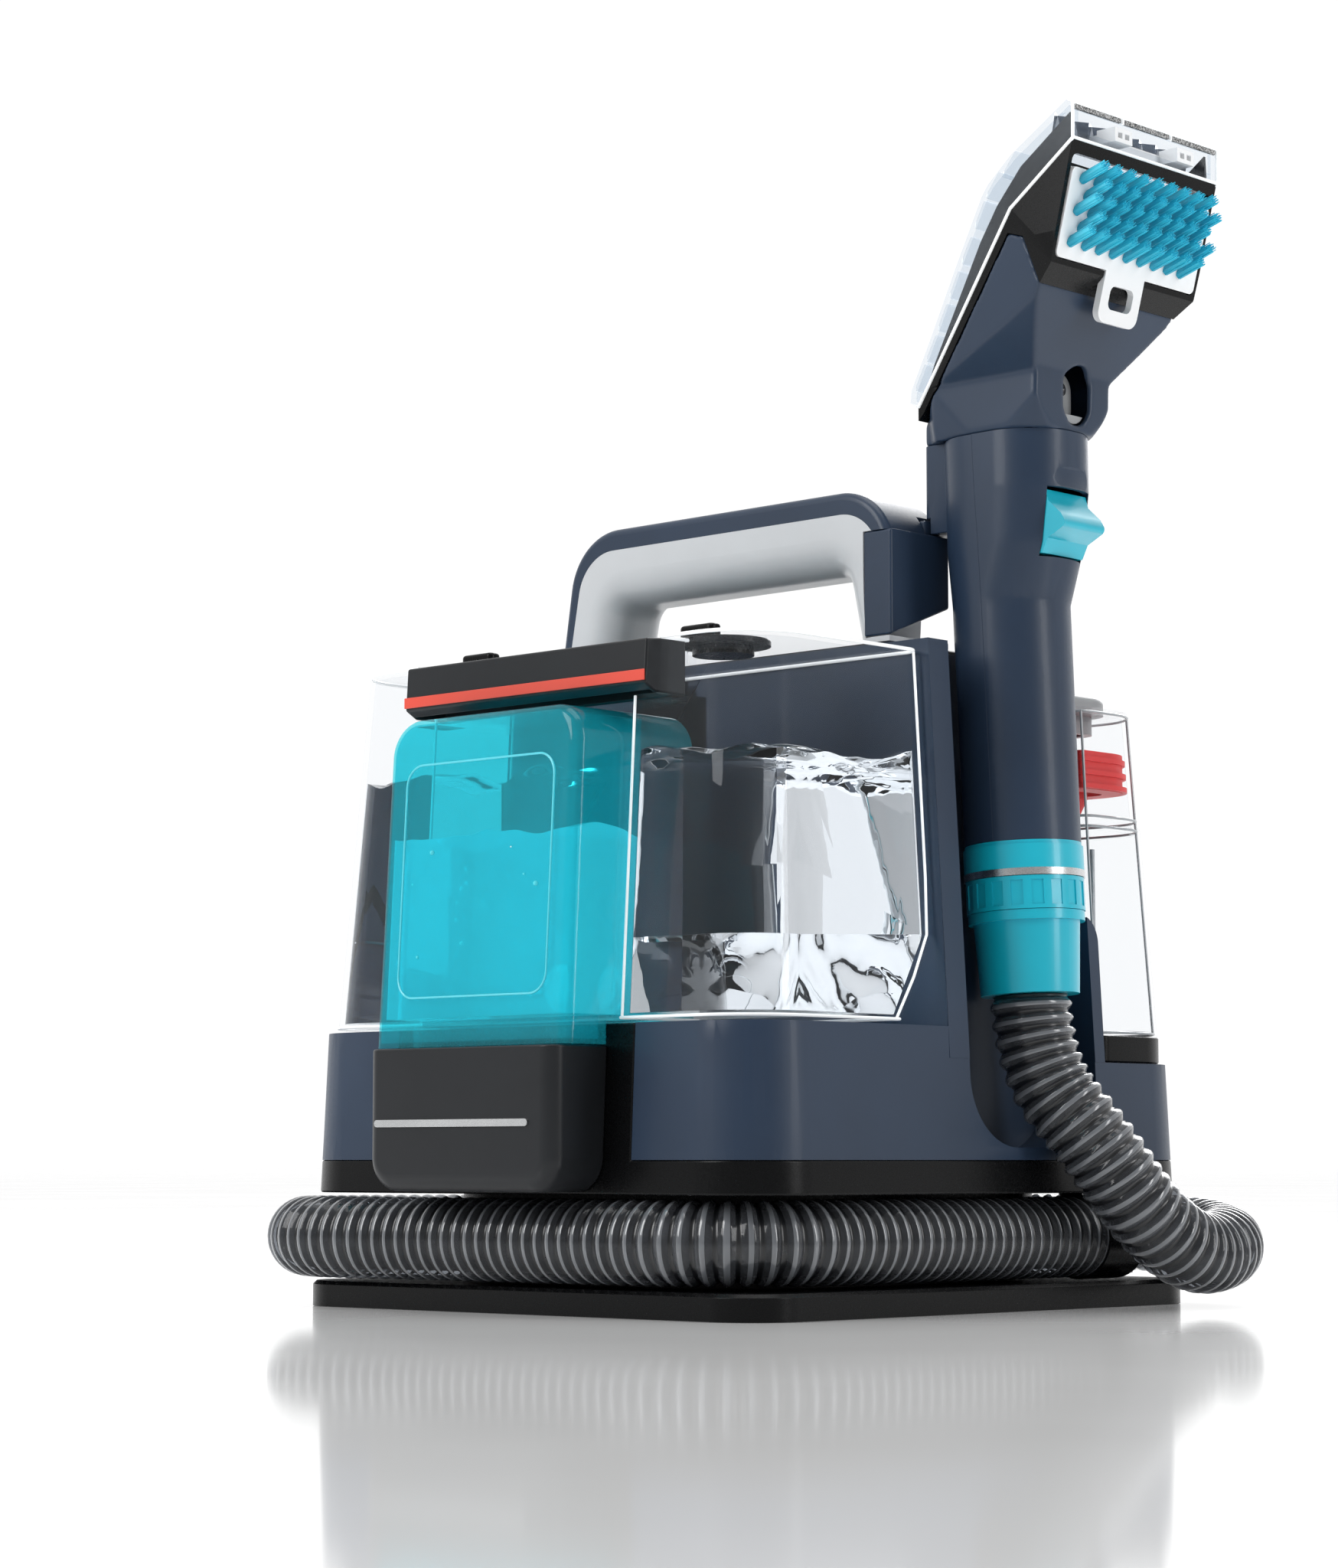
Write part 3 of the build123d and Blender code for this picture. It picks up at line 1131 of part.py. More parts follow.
# ---------------------------------------------------------------- hose
cuff_end = axis_plane.origin + axis_plane.z_dir * (CUFF_END - 0.02)
HOSE_ROUTE = [
    (121, 78, 30), (121, 34, 30), (123.5, -22, 30), (123, -76, 30), (119, -114, 30),
    (97, -137, 30), (55, -141, 30), (0, -141.5, 30), (-54, -143.5, 30), (-105, -151, 30),
    (-142, -140, 30), (-150, -98, 30), (-138, -48, 30), (-127, 6, 30), (-123.5, 60, 30),
    (-118, 105, 30), (-96, 134, 30), (-54, 142, 30), (0, 142.5, 30), (52, 145, 30),
    (98, 155, 31), (136, 156, 29), (164, 131, 25), (172, 92, 22), (169, 62, 40),
    (158.5, 43, 70), (135, 31, 101.6), (cuff_end.X, cuff_end.Y, cuff_end.Z),
]


def corner_radii(points):
    """For each corner, the largest arc that its two runs allow."""
    radii = []
    for before, corner, after in zip(points, points[1:], points[2:]):
        arriving, leaving = corner - before, after - corner
        half_turn = radians(arriving.get_angle(leaving)) / 2
        radii.append(0.45 * min(arriving.length, leaving.length) / tan(half_turn))
    return radii


route = [Vector(*point) for point in HOSE_ROUTE]
radii = corner_radii(route)
with BuildPart() as hose:
    with BuildLine() as hose_path:
        FilletPolyline(*route, radius=radii)
    with BuildSketch(Plane(origin=route[0], z_dir=route[1] - route[0])):
        Circle(HOSE_OD / 2)
    sweep()
finish(hose.part, "hose")
runs = [(b - a).length for a, b in zip(route, route[1:])]
print("hose runs", [round(run) for run in runs])
print("hose radii", [round(r) for r in radii])
hose_length = sum(edge.length for edge in hose_path.edges())
section = pi * (HOSE_OD / 2) ** 2
print("hose length", round(hose_length), "volume share", round(hose.part.volume / section / hose_length, 4))
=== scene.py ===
"""Looks for a portable carpet spot cleaner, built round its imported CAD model.

Everything is in metres in the row frame: +Z is up, the badge pod faces -Y and the hand tool
docks on the +X side.
"""
import json
import math
import random

import bmesh
import bpy
from mathutils import Matrix, Vector, noise
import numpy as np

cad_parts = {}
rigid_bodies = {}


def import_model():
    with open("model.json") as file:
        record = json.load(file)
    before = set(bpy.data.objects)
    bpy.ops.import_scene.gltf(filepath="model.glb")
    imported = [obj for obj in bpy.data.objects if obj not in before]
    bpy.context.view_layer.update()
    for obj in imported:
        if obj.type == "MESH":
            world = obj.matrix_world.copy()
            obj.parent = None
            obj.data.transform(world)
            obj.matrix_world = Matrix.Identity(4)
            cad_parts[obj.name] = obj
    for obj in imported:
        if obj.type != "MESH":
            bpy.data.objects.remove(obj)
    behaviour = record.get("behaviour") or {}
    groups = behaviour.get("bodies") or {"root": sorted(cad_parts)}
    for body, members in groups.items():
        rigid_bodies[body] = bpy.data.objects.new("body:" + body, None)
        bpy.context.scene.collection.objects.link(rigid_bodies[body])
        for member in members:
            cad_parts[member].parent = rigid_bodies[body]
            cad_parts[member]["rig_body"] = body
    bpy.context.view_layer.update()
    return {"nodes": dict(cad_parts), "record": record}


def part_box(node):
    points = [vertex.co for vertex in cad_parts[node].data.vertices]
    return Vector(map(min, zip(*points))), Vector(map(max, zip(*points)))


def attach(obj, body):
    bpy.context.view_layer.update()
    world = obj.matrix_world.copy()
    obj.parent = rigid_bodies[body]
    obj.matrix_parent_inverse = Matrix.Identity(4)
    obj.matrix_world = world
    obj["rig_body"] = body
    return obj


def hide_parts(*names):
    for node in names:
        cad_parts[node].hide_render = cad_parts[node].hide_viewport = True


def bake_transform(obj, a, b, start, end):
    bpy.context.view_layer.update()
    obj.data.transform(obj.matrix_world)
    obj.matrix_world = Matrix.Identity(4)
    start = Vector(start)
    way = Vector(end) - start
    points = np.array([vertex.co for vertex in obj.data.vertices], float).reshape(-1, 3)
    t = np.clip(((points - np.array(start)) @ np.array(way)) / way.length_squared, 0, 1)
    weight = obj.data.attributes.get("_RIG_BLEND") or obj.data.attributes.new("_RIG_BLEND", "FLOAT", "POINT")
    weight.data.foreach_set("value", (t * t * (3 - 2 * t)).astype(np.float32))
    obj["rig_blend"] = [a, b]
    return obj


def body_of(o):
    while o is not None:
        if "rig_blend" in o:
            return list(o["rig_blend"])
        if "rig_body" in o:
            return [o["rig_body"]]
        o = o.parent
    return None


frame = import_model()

MM = 0.001
TOOL_Y = 0.031  # the tool's middle plane
LEAN = math.radians(2.9)
TOOL_POINT = Vector((0.1303, TOOL_Y, 0.194))
TOOL_AXIS = Vector((-math.sin(LEAN), 0, math.cos(LEAN)))

nodes = frame["nodes"]


# ---------------------------------------------------------------- shader helpers
class Shader:
    """A material under construction, with short ways to add and join its nodes."""

    def __init__(self, name):
        self.material = bpy.data.materials.new(name)
        self.material.use_nodes = True
        self.tree = self.material.node_tree
        self.tree.nodes.clear()
        self.output = self.add("ShaderNodeOutputMaterial")
        self.place = self.add("ShaderNodeTexCoord").outputs["Object"]

    def add(self, kind, **values):
        """A node, with some of its inputs or settings given by name."""
        node = self.tree.nodes.new(kind)
        for key, value in values.items():
            if key in node.bl_rna.properties:
                setattr(node, key, value)
            else:
                self.put(node.inputs[key.replace("_", " ")], value)
        return node

    def put(self, socket, value):
        """Join an output to a socket, or set the socket's own value."""
        if isinstance(value, bpy.types.NodeSocket):
            self.tree.links.new(value, socket)
        elif isinstance(value, (tuple, list)) and len(value) == 3 and socket.type == "RGBA":
            socket.default_value = (*value, 1)
        else:
            socket.default_value = value

    def grain(self, scale, detail=3.0, rough=0.55):
        """Noise between 0 and 1, its scale in features for each metre."""
        made = self.add("ShaderNodeTexNoise", Vector=self.place, Scale=scale, Detail=detail)
        made.inputs["Roughness"].default_value = rough
        return made.outputs["Fac"]

    def spread(self, value, low, high, start=0.3, end=0.7):
        """Map a value to another range."""
        made = self.add("ShaderNodeMapRange", Value=value)
        for key, number in (("From Min", start), ("From Max", end), ("To Min", low), ("To Max", high)):
            self.put(made.inputs[key], number)
        return made.outputs["Result"]

    def tones(self, value, dark, light, start=0.3, end=0.7):
        """Colours from dark to light as a value rises."""
        ramp = self.add("ShaderNodeValToRGB", Fac=value)
        ramp.color_ramp.elements[0].position = start
        ramp.color_ramp.elements[0].color = (*dark, 1)
        ramp.color_ramp.elements[1].position = end
        ramp.color_ramp.elements[1].color = (*light, 1)
        return ramp.outputs["Color"]

    def bump(self, height, distance, strength=1.0, under=None):
        """A bump from a height, its depth in metres."""
        made = self.add("ShaderNodeBump", Height=height, Distance=distance, Strength=strength)
        if under is not None:
            self.put(made.inputs["Normal"], under)
        return made.outputs["Normal"]

    def principled(self, **values):
        return self.add("ShaderNodeBsdfPrincipled", **values)

    def mix(self, share, first, second):
        made = self.add("ShaderNodeMixShader")
        self.put(made.inputs[0], share)
        self.put(made.inputs[1], first)
        self.put(made.inputs[2], second)
        return made.outputs[0]

    def done(self, surface):
        self.put(self.output.inputs["Surface"], surface)
        return self.material


def shade(colour, factor):
    """A colour made lighter or darker."""
    return tuple(min(1.0, part * factor) for part in colour)


def moulded(name, colour, rough=0.45, grain=2200, depth=0.000012, spread=0.12, coat=0.0, patches=14,
            shine=0.5):
    """Moulded plastic: a fine spark-eroded grain, faint cloudiness and a few smoother patches."""
    s = Shader(name)
    cloud = s.grain(patches, 4)
    fine = s.grain(grain, 2)
    specks = s.grain(grain * 0.35, 3)
    base = s.tones(cloud, shade(colour, 1 - spread), shade(colour, 1 + spread))
    roughness = s.spread(specks, rough - 0.03, rough + 0.03)
    normal = s.bump(fine, depth, 0.6)
    made = s.principled(Roughness=roughness, Normal=normal)
    s.put(made.inputs["Base Color"], base)
    made.inputs["Specular IOR Level"].default_value = shine
    made.inputs["Coat Weight"].default_value = coat
    made.inputs["Coat Roughness"].default_value = 0.12
    return s.done(made.outputs[0])


def clear(name, tint, body, share=0.06, edge=0.85, rough=0.04):
    """Clear moulded plastic: see-through when seen square on and glossy at its edges."""
    s = Shader(name)
    ripple = s.grain(60, 2)
    scuffs = s.grain(700, 4, 0.7)
    normal = s.bump(ripple, 0.0006, 0.5)
    weight = s.add("ShaderNodeLayerWeight", Blend=0.35)
    facing = s.spread(weight.outputs["Facing"], share, edge, 0.72, 1.0)
    surface = s.principled(Normal=normal, Roughness=s.spread(scuffs, rough, rough + 0.06))
    s.put(surface.inputs["Base Color"], s.tones(ripple, shade(body, 0.92), body))
    surface.inputs["Specular IOR Level"].default_value = 0.8
    surface.inputs["Coat Weight"].default_value = 1.0
    surface.inputs["Coat Roughness"].default_value = 0.02
    see = s.add("ShaderNodeBsdfTransparent", Color=tint)
    return s.done(s.mix(facing, see.outputs[0], surface.outputs[0]))


def metal(name, colour, rough, lines=900):
    """Brushed or satin metal."""
    s = Shader(name)
    stretch = s.add("ShaderNodeMapping", Vector=s.place, Scale=(1, 1, 14))
    brushed = s.add("ShaderNodeTexNoise", Vector=stretch.outputs[0], Scale=lines, Detail=3)
    made = s.principled(
        Metallic=1.0,
        Roughness=s.spread(brushed.outputs["Fac"], rough - 0.06, rough + 0.08),
        Normal=s.bump(brushed.outputs["Fac"], 0.00002, 0.4),
    )
    s.put(made.inputs["Base Color"], s.tones(s.grain(40), shade(colour, 0.9), colour))
    return s.done(made.outputs[0])


NAVY = (0.018, 0.035, 0.068)
TEAL = (0.004, 0.46, 0.60)
WHITE = (0.93, 0.94, 0.95)
MATERIALS = {
    "navy_casing": moulded("navy_casing", NAVY, 0.40, coat=0.08, shine=0.4),
    "black_plastic": moulded("black_plastic", (0.003, 0.0032, 0.0036), 0.28, shine=0.18),
    "charcoal_plastic": moulded("charcoal_plastic", (0.016, 0.0175, 0.020), 0.34, shine=0.28),
    "handle_grey": moulded("handle_grey", (0.62, 0.64, 0.66), 0.33, 900, spread=0.05, coat=0.3),
    "coral_stripe": moulded("coral_stripe", (0.78, 0.075, 0.045), 0.4, spread=0.06),
    "silver_trim": metal("silver_trim", (0.72, 0.73, 0.74), 0.28),
    "clear_tank": clear("clear_tank", (0.98, 0.985, 0.99), (0.80, 0.83, 0.86), 0.010, 0.85),
    "teal_tank": clear("teal_tank", (0.42, 0.93, 0.97), (0.03, 0.64, 0.75), 0.20, 0.9),
    "teal_plastic": moulded("teal_plastic", TEAL, 0.32, 1100, spread=0.07, coat=0.35),
    "red_rubber": moulded("red_rubber", (0.70, 0.02, 0.02), 0.5),
    "white_plastic": moulded("white_plastic", WHITE, 0.35, 1000, spread=0.03, coat=0.2),
    "grey_plastic": moulded("grey_plastic", (0.30, 0.31, 0.32), 0.42),
    "rubber_pad": moulded("rubber_pad", (0.015, 0.015, 0.015), 0.7, 700, 0.0001),
    "hose_grey": moulded("hose_grey", (0.10, 0.11, 0.12), 0.3),
    "bristle_teal": moulded("bristle_teal", (0.004, 0.42, 0.58), 0.36, 2200, spread=0.15),
    "steel": metal("steel", (0.6, 0.6, 0.6), 0.3),
    "screw_chrome": metal("screw_chrome", (0.85, 0.85, 0.86), 0.16),
    "board_green": moulded("board_green", (0.02, 0.16, 0.06), 0.4),
    "duct_black": moulded("duct_black", (0.02, 0.02, 0.022), 0.5),
    "nozzle_clear": clear("nozzle_clear", (0.93, 0.95, 0.97), (0.74, 0.77, 0.80), 0.03, 0.8),
}

slot_of = {entry["node"]: entry["material_slot"] for entry in frame["record"]["subparts"]}
for name, obj in nodes.items():
    for index in range(max(1, len(obj.material_slots))):
        if not obj.material_slots:
            obj.data.materials.append(MATERIALS[slot_of[name]])
        else:
            obj.material_slots[index].material = MATERIALS[slot_of[name]]


# ---------------------------------------------------------------- mesh helpers
def new_piece(name, bm, material, body, smooth=True, sharp=40):
    """Turn a bmesh into a piece that rides on a body, or on none yet if body is None."""
    data = bpy.data.meshes.new(name)
    bm.normal_update()
    bm.to_mesh(data)
    bm.free()
    obj = bpy.data.objects.new(name, data)
    bpy.context.scene.collection.objects.link(obj)
    data.materials.append(material)
    for face in data.polygons:
        face.use_smooth = smooth
    if smooth:
        data.set_sharp_from_angle(angle=math.radians(sharp))
    if body:
        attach(obj, body)
    return obj


def rings_to_bmesh(rings, close_ends=True, bm=None):
    """Join rings of points, each with the same count, into a tube."""
    bm = bm or bmesh.new()
    made = [[bm.verts.new(point) for point in ring] for ring in rings]
    count = len(made[0])
    for low, high in zip(made, made[1:]):
        for i in range(count):
            j = (i + 1) % count
            bm.faces.new((low[i], low[j], high[j], high[i]))
    if close_ends:
        bm.faces.new(list(reversed(made[0])))
        bm.faces.new(made[-1])
    return bm


def corner_arc(cx, cy, radius, start, steps=8):
    """Points of a quarter circle that starts at an angle given in quarter turns."""
    return [
        (
            cx + radius * math.cos(math.pi / 2 * (start + i / steps)),
            cy + radius * math.sin(math.pi / 2 * (start + i / steps)),
        )
        for i in range(steps + 1)
    ]


def bevelled(name, width=0.0008, segments=3, angle=32):
    """A copy of a CAD node with its hard edges rounded, which then stands for that node."""
    source = nodes[name]
    body = body_of(source)[0]
    bm = bmesh.new()
    bm.from_mesh(source.data)
    bmesh.ops.remove_doubles(bm, verts=bm.verts, dist=0.00001)
    bmesh.ops.dissolve_limit(bm, angle_limit=math.radians(0.6), verts=bm.verts, edges=bm.edges)
    obj = new_piece(name + "_moulded", bm, MATERIALS[slot_of[name]], body, sharp=30)
    edge = obj.modifiers.new("edge", "BEVEL")
    edge.width = width
    edge.segments = segments
    edge.limit_method = "ANGLE"
    edge.angle_limit = math.radians(angle)
    edge.harden_normals = True
    edge.use_clamp_overlap = True
    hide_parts(name)
    return obj


BEVELS = {
    "casing_right": 1.2, "casing_left": 1.2, "lower_housing": 1.0, "front_pod": 1.0,
    "top_cover": 0.5, "dock_block": 1.4, "base_plate": 0.8, "tank_bar": 1.0, "bar_stripe": 0.3,
    "tool_shell_front": 0.5, "tool_shell_rear": 0.5, "head_frame": 0.7,
    "brush_plate": 0.9, "release_lever": 0.6, "trigger": 1.2, "dirty_tank_base": 0.8,
}
for node_name, width in BEVELS.items():
    bevelled(node_name, width * MM)


# ---------------------------------------------------------------- water and solution
def tapered_outline(half_x, front, back, front_radius, back_radius):
    """A plan outline with two rounded front corners and two rounded back corners."""
    return (
        corner_arc(-half_x + front_radius, front + front_radius, front_radius, 2)
        + corner_arc(half_x - front_radius, front + front_radius, front_radius, 3)
        + corner_arc(half_x - back_radius, back - back_radius, back_radius, 0)
        + corner_arc(-half_x + back_radius, back - back_radius, back_radius, 1)
    )


def swell(x, y, seed, height):
    """A calm ripple with one or two sharper crests, in metres."""
    place = Vector((x * 28 + seed, y * 28, seed))
    finer = Vector((x * 75, y * 75 + seed, seed))
    return height * (noise.noise(place) + 0.35 * noise.noise(finer))


def cut_with(obj, other, operation):
    """Apply a boolean with another mesh object, which is then removed."""
    step = obj.modifiers.new("cut", "BOOLEAN")
    step.operation = operation
    step.object = other
    step.solver = "EXACT"
    bpy.context.view_layer.update()
    depsgraph = bpy.context.evaluated_depsgraph_get()
    cut = bpy.data.meshes.new_from_object(obj.evaluated_get(depsgraph))
    obj.modifiers.clear()
    old = obj.data
    obj.data = cut
    bpy.data.meshes.remove(old)
    bpy.data.objects.remove(other)


def scratch_object(name, bm):
    data = bpy.data.meshes.new(name)
    bm.normal_update()
    bm.to_mesh(data)
    bm.free()
    obj = bpy.data.objects.new(name, data)
    bpy.context.scene.collection.objects.link(obj)
    return obj


def slab(bm, low, high):
    """A block between two corners, added to a bmesh."""
    for vert in bmesh.ops.create_cube(bm, size=1)["verts"]:
        vert.co = Vector(low[i] if vert.co[i] < 0 else high[i] for i in range(3))


def box_bmesh(low, high):
    bm = bmesh.new()
    slab(bm, low, high)
    return bm


def rippled_block(low, high, level, height, seed, step):
    """A block whose top is a rippled water surface."""
    columns = int((high[0] - low[0]) / step) + 1
    rows = int((high[1] - low[1]) / step) + 1
    bm = bmesh.new()
    top = []
    for i in range(columns + 1):
        line = []
        for j in range(rows + 1):
            x = low[0] + (high[0] - low[0]) * i / columns
            y = low[1] + (high[1] - low[1]) * j / rows
            line.append(bm.verts.new((x, y, level + swell(x, y, seed, height))))
        top.append(line)
    for i in range(columns):
        for j in range(rows):
            bm.faces.new((top[i][j], top[i + 1][j], top[i + 1][j + 1], top[i][j + 1]))
    rim = (
        [top[i][0] for i in range(columns)]
        + [top[columns][j] for j in range(rows)]
        + [top[i][rows] for i in range(columns, 0, -1)]
        + [top[0][j] for j in range(rows, 0, -1)]
    )
    foot = [bm.verts.new((vert.co.x, vert.co.y, low[2])) for vert in rim]
    for k, vert in enumerate(rim):
        after = (k + 1) % len(rim)
        bm.faces.new((vert, foot[k], foot[after], rim[after]))
    bm.faces.new(list(reversed(foot)))
    bmesh.ops.recalc_face_normals(bm, faces=bm.faces)
    return bm


def liquid_material(name, tint, ior, milk_and_glow, body):
    """Clear liquid that bends light, lets lamps through and may be a little milky, its milky part giving off
    a faint painted glow in its own colour.
    """
    s = Shader(name)
    drift = s.grain(22, 3)
    normal = s.bump(drift, 0.0005, 0.2)
    bend = s.add("ShaderNodeBsdfGlass", Color=tint, Roughness=0.0, IOR=ior, Normal=normal)
    lamps = s.add("ShaderNodeBsdfTransparent", Color=tint)
    path = s.add("ShaderNodeLightPath")
    glass = s.mix(path.outputs["Is Shadow Ray"], bend.outputs[0], lamps.outputs[0])
    if not milk_and_glow:
        return s.done(glass)
    cloudy_glowing = s.principled(Roughness=s.spread(drift, 0.2, 0.35))
    s.put(cloudy_glowing.inputs["Base Color"], s.tones(drift, shade(body, 0.85), body))
    # Painted glow: the milky part emits a little of its own colour, though it is no lamp.
    cloudy_glowing.inputs["Emission Color"].default_value = (*body, 1)
    cloudy_glowing.inputs["Emission Strength"].default_value = 0.3
    return s.done(s.mix(milk_and_glow, glass, cloudy_glowing.outputs[0]))


TANK_LOW, TANK_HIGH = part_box("clean_tank")
WATER_GAP = 0.0027  # from the outside of a tank's wall to the water
TANK_SIDE_LOW, TANK_SIDE_HIGH = 0.1315, 0.1223
TANK_FRONT_LOW, TANK_FRONT_HIGH, TANK_BACK = -0.142, -0.133, -0.0268


def clean_water():
    """Water in the front tank: the tank's inside up to a rippled level."""
    rings = []
    for share in (0.0, 1.0):
        height = TANK_LOW[2] + WATER_GAP + share * (TANK_HIGH[2] - TANK_LOW[2] - 2 * WATER_GAP)
        side = TANK_SIDE_LOW + share * (TANK_SIDE_HIGH - TANK_SIDE_LOW) - WATER_GAP
        front = TANK_FRONT_LOW + share * (TANK_FRONT_HIGH - TANK_FRONT_LOW) + WATER_GAP
        outline = tapered_outline(side, front, TANK_BACK - WATER_GAP, 0.0273, 0.0053)
        rings.append([Vector((x, y, height)) for x, y in outline])
    water = scratch_object("clean_water", rings_to_bmesh(rings))
    level = scratch_object(
        "level", rippled_block((-0.16, -0.16, 0.1), (0.16, 0.0, 0.3), 0.229, 0.0065, 3.1, 0.003)
    )
    cut_with(water, level, "INTERSECT")
    bay = 0.059 + WATER_GAP
    back = -0.096 + WATER_GAP
    cut_with(water, scratch_object("bay", box_bmesh((-bay, -0.2, 0.0), (bay, back, 0.26))), "DIFFERENCE")
    wedge = bmesh.new()
    profile = [(-0.0555, 0.1), (-0.0555, 0.1195), (-0.0323, 0.156), (0.01, 0.156), (0.01, 0.1)]
    ends = [[wedge.verts.new((x, y, z)) for y, z in profile] for x in (-0.2, 0.2)]
    for i in range(5):
        j = (i + 1) % 5
        wedge.faces.new((ends[0][i], ends[0][j], ends[1][j], ends[1][i]))
    wedge.faces.new(ends[0])
    wedge.faces.new(ends[1])
    bmesh.ops.recalc_face_normals(wedge, faces=wedge.faces)
    cut_with(water, scratch_object("wedge", wedge), "DIFFERENCE")
    return water


def finish_liquid(obj, material, body):
    obj.data.materials.clear()
    obj.data.materials.append(material)
    for face in obj.data.polygons:
        face.use_smooth = True
        face.material_index = 0
    obj.data.set_sharp_from_angle(angle=math.radians(50))
    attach(obj, body)


water_material = liquid_material("water", (0.97, 0.98, 0.99), 1.33, 0, None)
finish_liquid(clean_water(), water_material, "clean_tank")

SOLUTION_WALL = 0.0025


def solution_liquid():
    """Cleaning solution in the tinted tank, up to a rippled level."""
    side = 0.0575 - SOLUTION_WALL
    rings = []
    for height, front in ((0.1216, -0.1705), (0.236, -0.1643)):
        outline = tapered_outline(side, front + SOLUTION_WALL, -0.097 - SOLUTION_WALL, 0.003, 0.001)
        rings.append([Vector((x, y, height)) for x, y in outline])
    liquid = scratch_object("solution", rings_to_bmesh(rings))
    level = scratch_object(
        "level", rippled_block((-0.08, -0.19, 0.1), (0.08, -0.08, 0.3), 0.197, 0.006, 9.4, 0.0025)
    )
    cut_with(liquid, level, "INTERSECT")
    return liquid


# The solution's milky part carries a faint painted glow in its tint.
solution_material = liquid_material("solution", (0.60, 0.95, 0.98), 1.18, 0.42, (0.22, 0.82, 0.90))
finish_liquid(solution_liquid(), solution_material, "solution_tank")


def bubbles(name, low, high, count, sizes, seed, body):
    """Small bubbles caught in a liquid."""
    pick = random.Random(seed)
    bm = bmesh.new()
    for _ in range(count):
        centre = Vector(pick.uniform(low[i], high[i]) for i in range(3))
        bmesh.ops.create_icosphere(
            bm, subdivisions=2, radius=pick.uniform(*sizes), matrix=Matrix.Translation(centre)
        )
    s = Shader(name)
    made = s.principled(Roughness=s.spread(s.grain(400), 0.02, 0.08))
    s.put(made.inputs["Base Color"], s.tones(s.grain(300), (0.82, 0.95, 0.97), (0.95, 1.0, 1.0)))
    new_piece(name, bm, s.done(made.outputs[0]), body)


bubbles("solution_bubbles", (-0.05, -0.1675, 0.128), (0.05, -0.155, 0.192), 46, (0.0004, 0.0011), 5,
        "solution_tank")


# ---------------------------------------------------------------- the tool's smooth shroud
def softened(name, cell, rounds):
    """A copy of a CAD node with its facets melted into smooth curves, which then stands for it."""
    source = nodes[name]
    bm = bmesh.new()
    bm.from_mesh(source.data)
    bmesh.ops.remove_doubles(bm, verts=bm.verts, dist=0.00001)
    obj = new_piece(name + "_smooth", bm, MATERIALS[slot_of[name]], None, sharp=180)
    grid = obj.modifiers.new("grid", "REMESH")
    grid.mode = "VOXEL"
    grid.voxel_size = cell
    melt = obj.modifiers.new("melt", "SMOOTH")
    melt.factor = 0.5
    melt.iterations = rounds
    bpy.context.view_layer.update()
    depsgraph = bpy.context.evaluated_depsgraph_get()
    melted = bpy.data.meshes.new_from_object(obj.evaluated_get(depsgraph))
    obj.modifiers.clear()
    obj.data = melted
    for face in melted.polygons:
        face.use_smooth = True
    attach(obj, body_of(source)[0])
    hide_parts(name)
    return obj


softened("tool_shroud", 0.0008, 16)


# ---------------------------------------------------------------- painted highlight beads along edges
ARC_POINTS = 9  # points that corner_arc gives for each corner of an outline
EDGE_BEAD = 0.0006  # radius of most beads


def bead(bm, points, radius=EDGE_BEAD, closed=False, sides=8):
    """A thin round bead along a line of points, added to a bmesh."""
    points = [Vector(point) for point in points]
    count = len(points)
    turns = [math.tau * k / sides for k in range(sides)]
    side, rings = None, []
    for i, point in enumerate(points):
        before = points[i - 1] if closed or i else point
        after = points[(i + 1) % count] if closed or i + 1 < count else point
        direction = (after - before).normalized()
        side = side or direction.orthogonal()
        side = (side - direction * side.dot(direction)).normalized()
        across = direction.cross(side)
        rings.append([point + (side * math.cos(a) + across * math.sin(a)) * radius for a in turns])
    if closed:
        rings.append(rings[0])
    rings_to_bmesh(rings, not closed, bm)


def painted_highlight_material(name, colour, glow=0.0):
    """Glossy bead material for painted highlights along edges, with a faint painted glow of its own."""
    s = Shader(name)
    made = s.principled(Roughness=s.spread(s.grain(500), 0.12, 0.25))
    s.put(made.inputs["Base Color"], s.tones(s.grain(60), shade(colour, 0.93), colour))
    made.inputs["Emission Color"].default_value = (*colour, 1)
    made.inputs["Emission Strength"].default_value = glow
    return s.done(made.outputs[0])


# White, teal and grey painted highlight materials; the white and teal ones also glow as painted light.
painted_highlight_white = painted_highlight_material("painted_highlight_white", (0.93, 0.95, 0.96), 0.25)
painted_highlight_teal = painted_highlight_material("painted_highlight_teal", (0.10, 0.62, 0.72), 0.1)
painted_highlight_grey = painted_highlight_material("painted_highlight_grey", (0.33, 0.35, 0.37))

TANK_FOOT, TANK_RISE = 0.1195, 0.1565
BAY_HALF, BAY_BACK, BAY_TOP = 0.059, -0.096, 0.2522  # the solution tank's bay
NOTCH_HALF, NOTCH_BACK = 0.073, -0.117  # the notch for the bar over the bay
CHAMFER_Y = -0.0528  # the rear bottom chamfer starts here
# The side's rear edge from the chamfer up, as places in Y and Z
TANK_REAR_EDGE = [
    (-0.0525, 0.1205), (-0.040, 0.138), (-0.0302, 0.156), (-0.0291, 0.18), (-0.0291, 0.275),
]


def tank_half_x(z):
    return TANK_SIDE_LOW + (z - TANK_FOOT) / TANK_RISE * (TANK_SIDE_HIGH - TANK_SIDE_LOW)


def tank_front(z):
    return TANK_FRONT_LOW + (z - TANK_FOOT) / TANK_RISE * (TANK_FRONT_HIGH - TANK_FRONT_LOW)


def tank_rim(z, gap_half, gap_back, back=TANK_BACK, back_radius=0.008):
    """The front tank's outline at a height, round the gap in its front."""
    front = tank_front(z)
    outline = tapered_outline(tank_half_x(z), front, back, 0.030, back_radius)
    points = [(gap_half, front)] + outline[ARC_POINTS:] + outline[:ARC_POINTS]
    points += [(-gap_half, front), (-gap_half, gap_back), (gap_half, gap_back)]
    return [(x, y, z) for x, y in points]


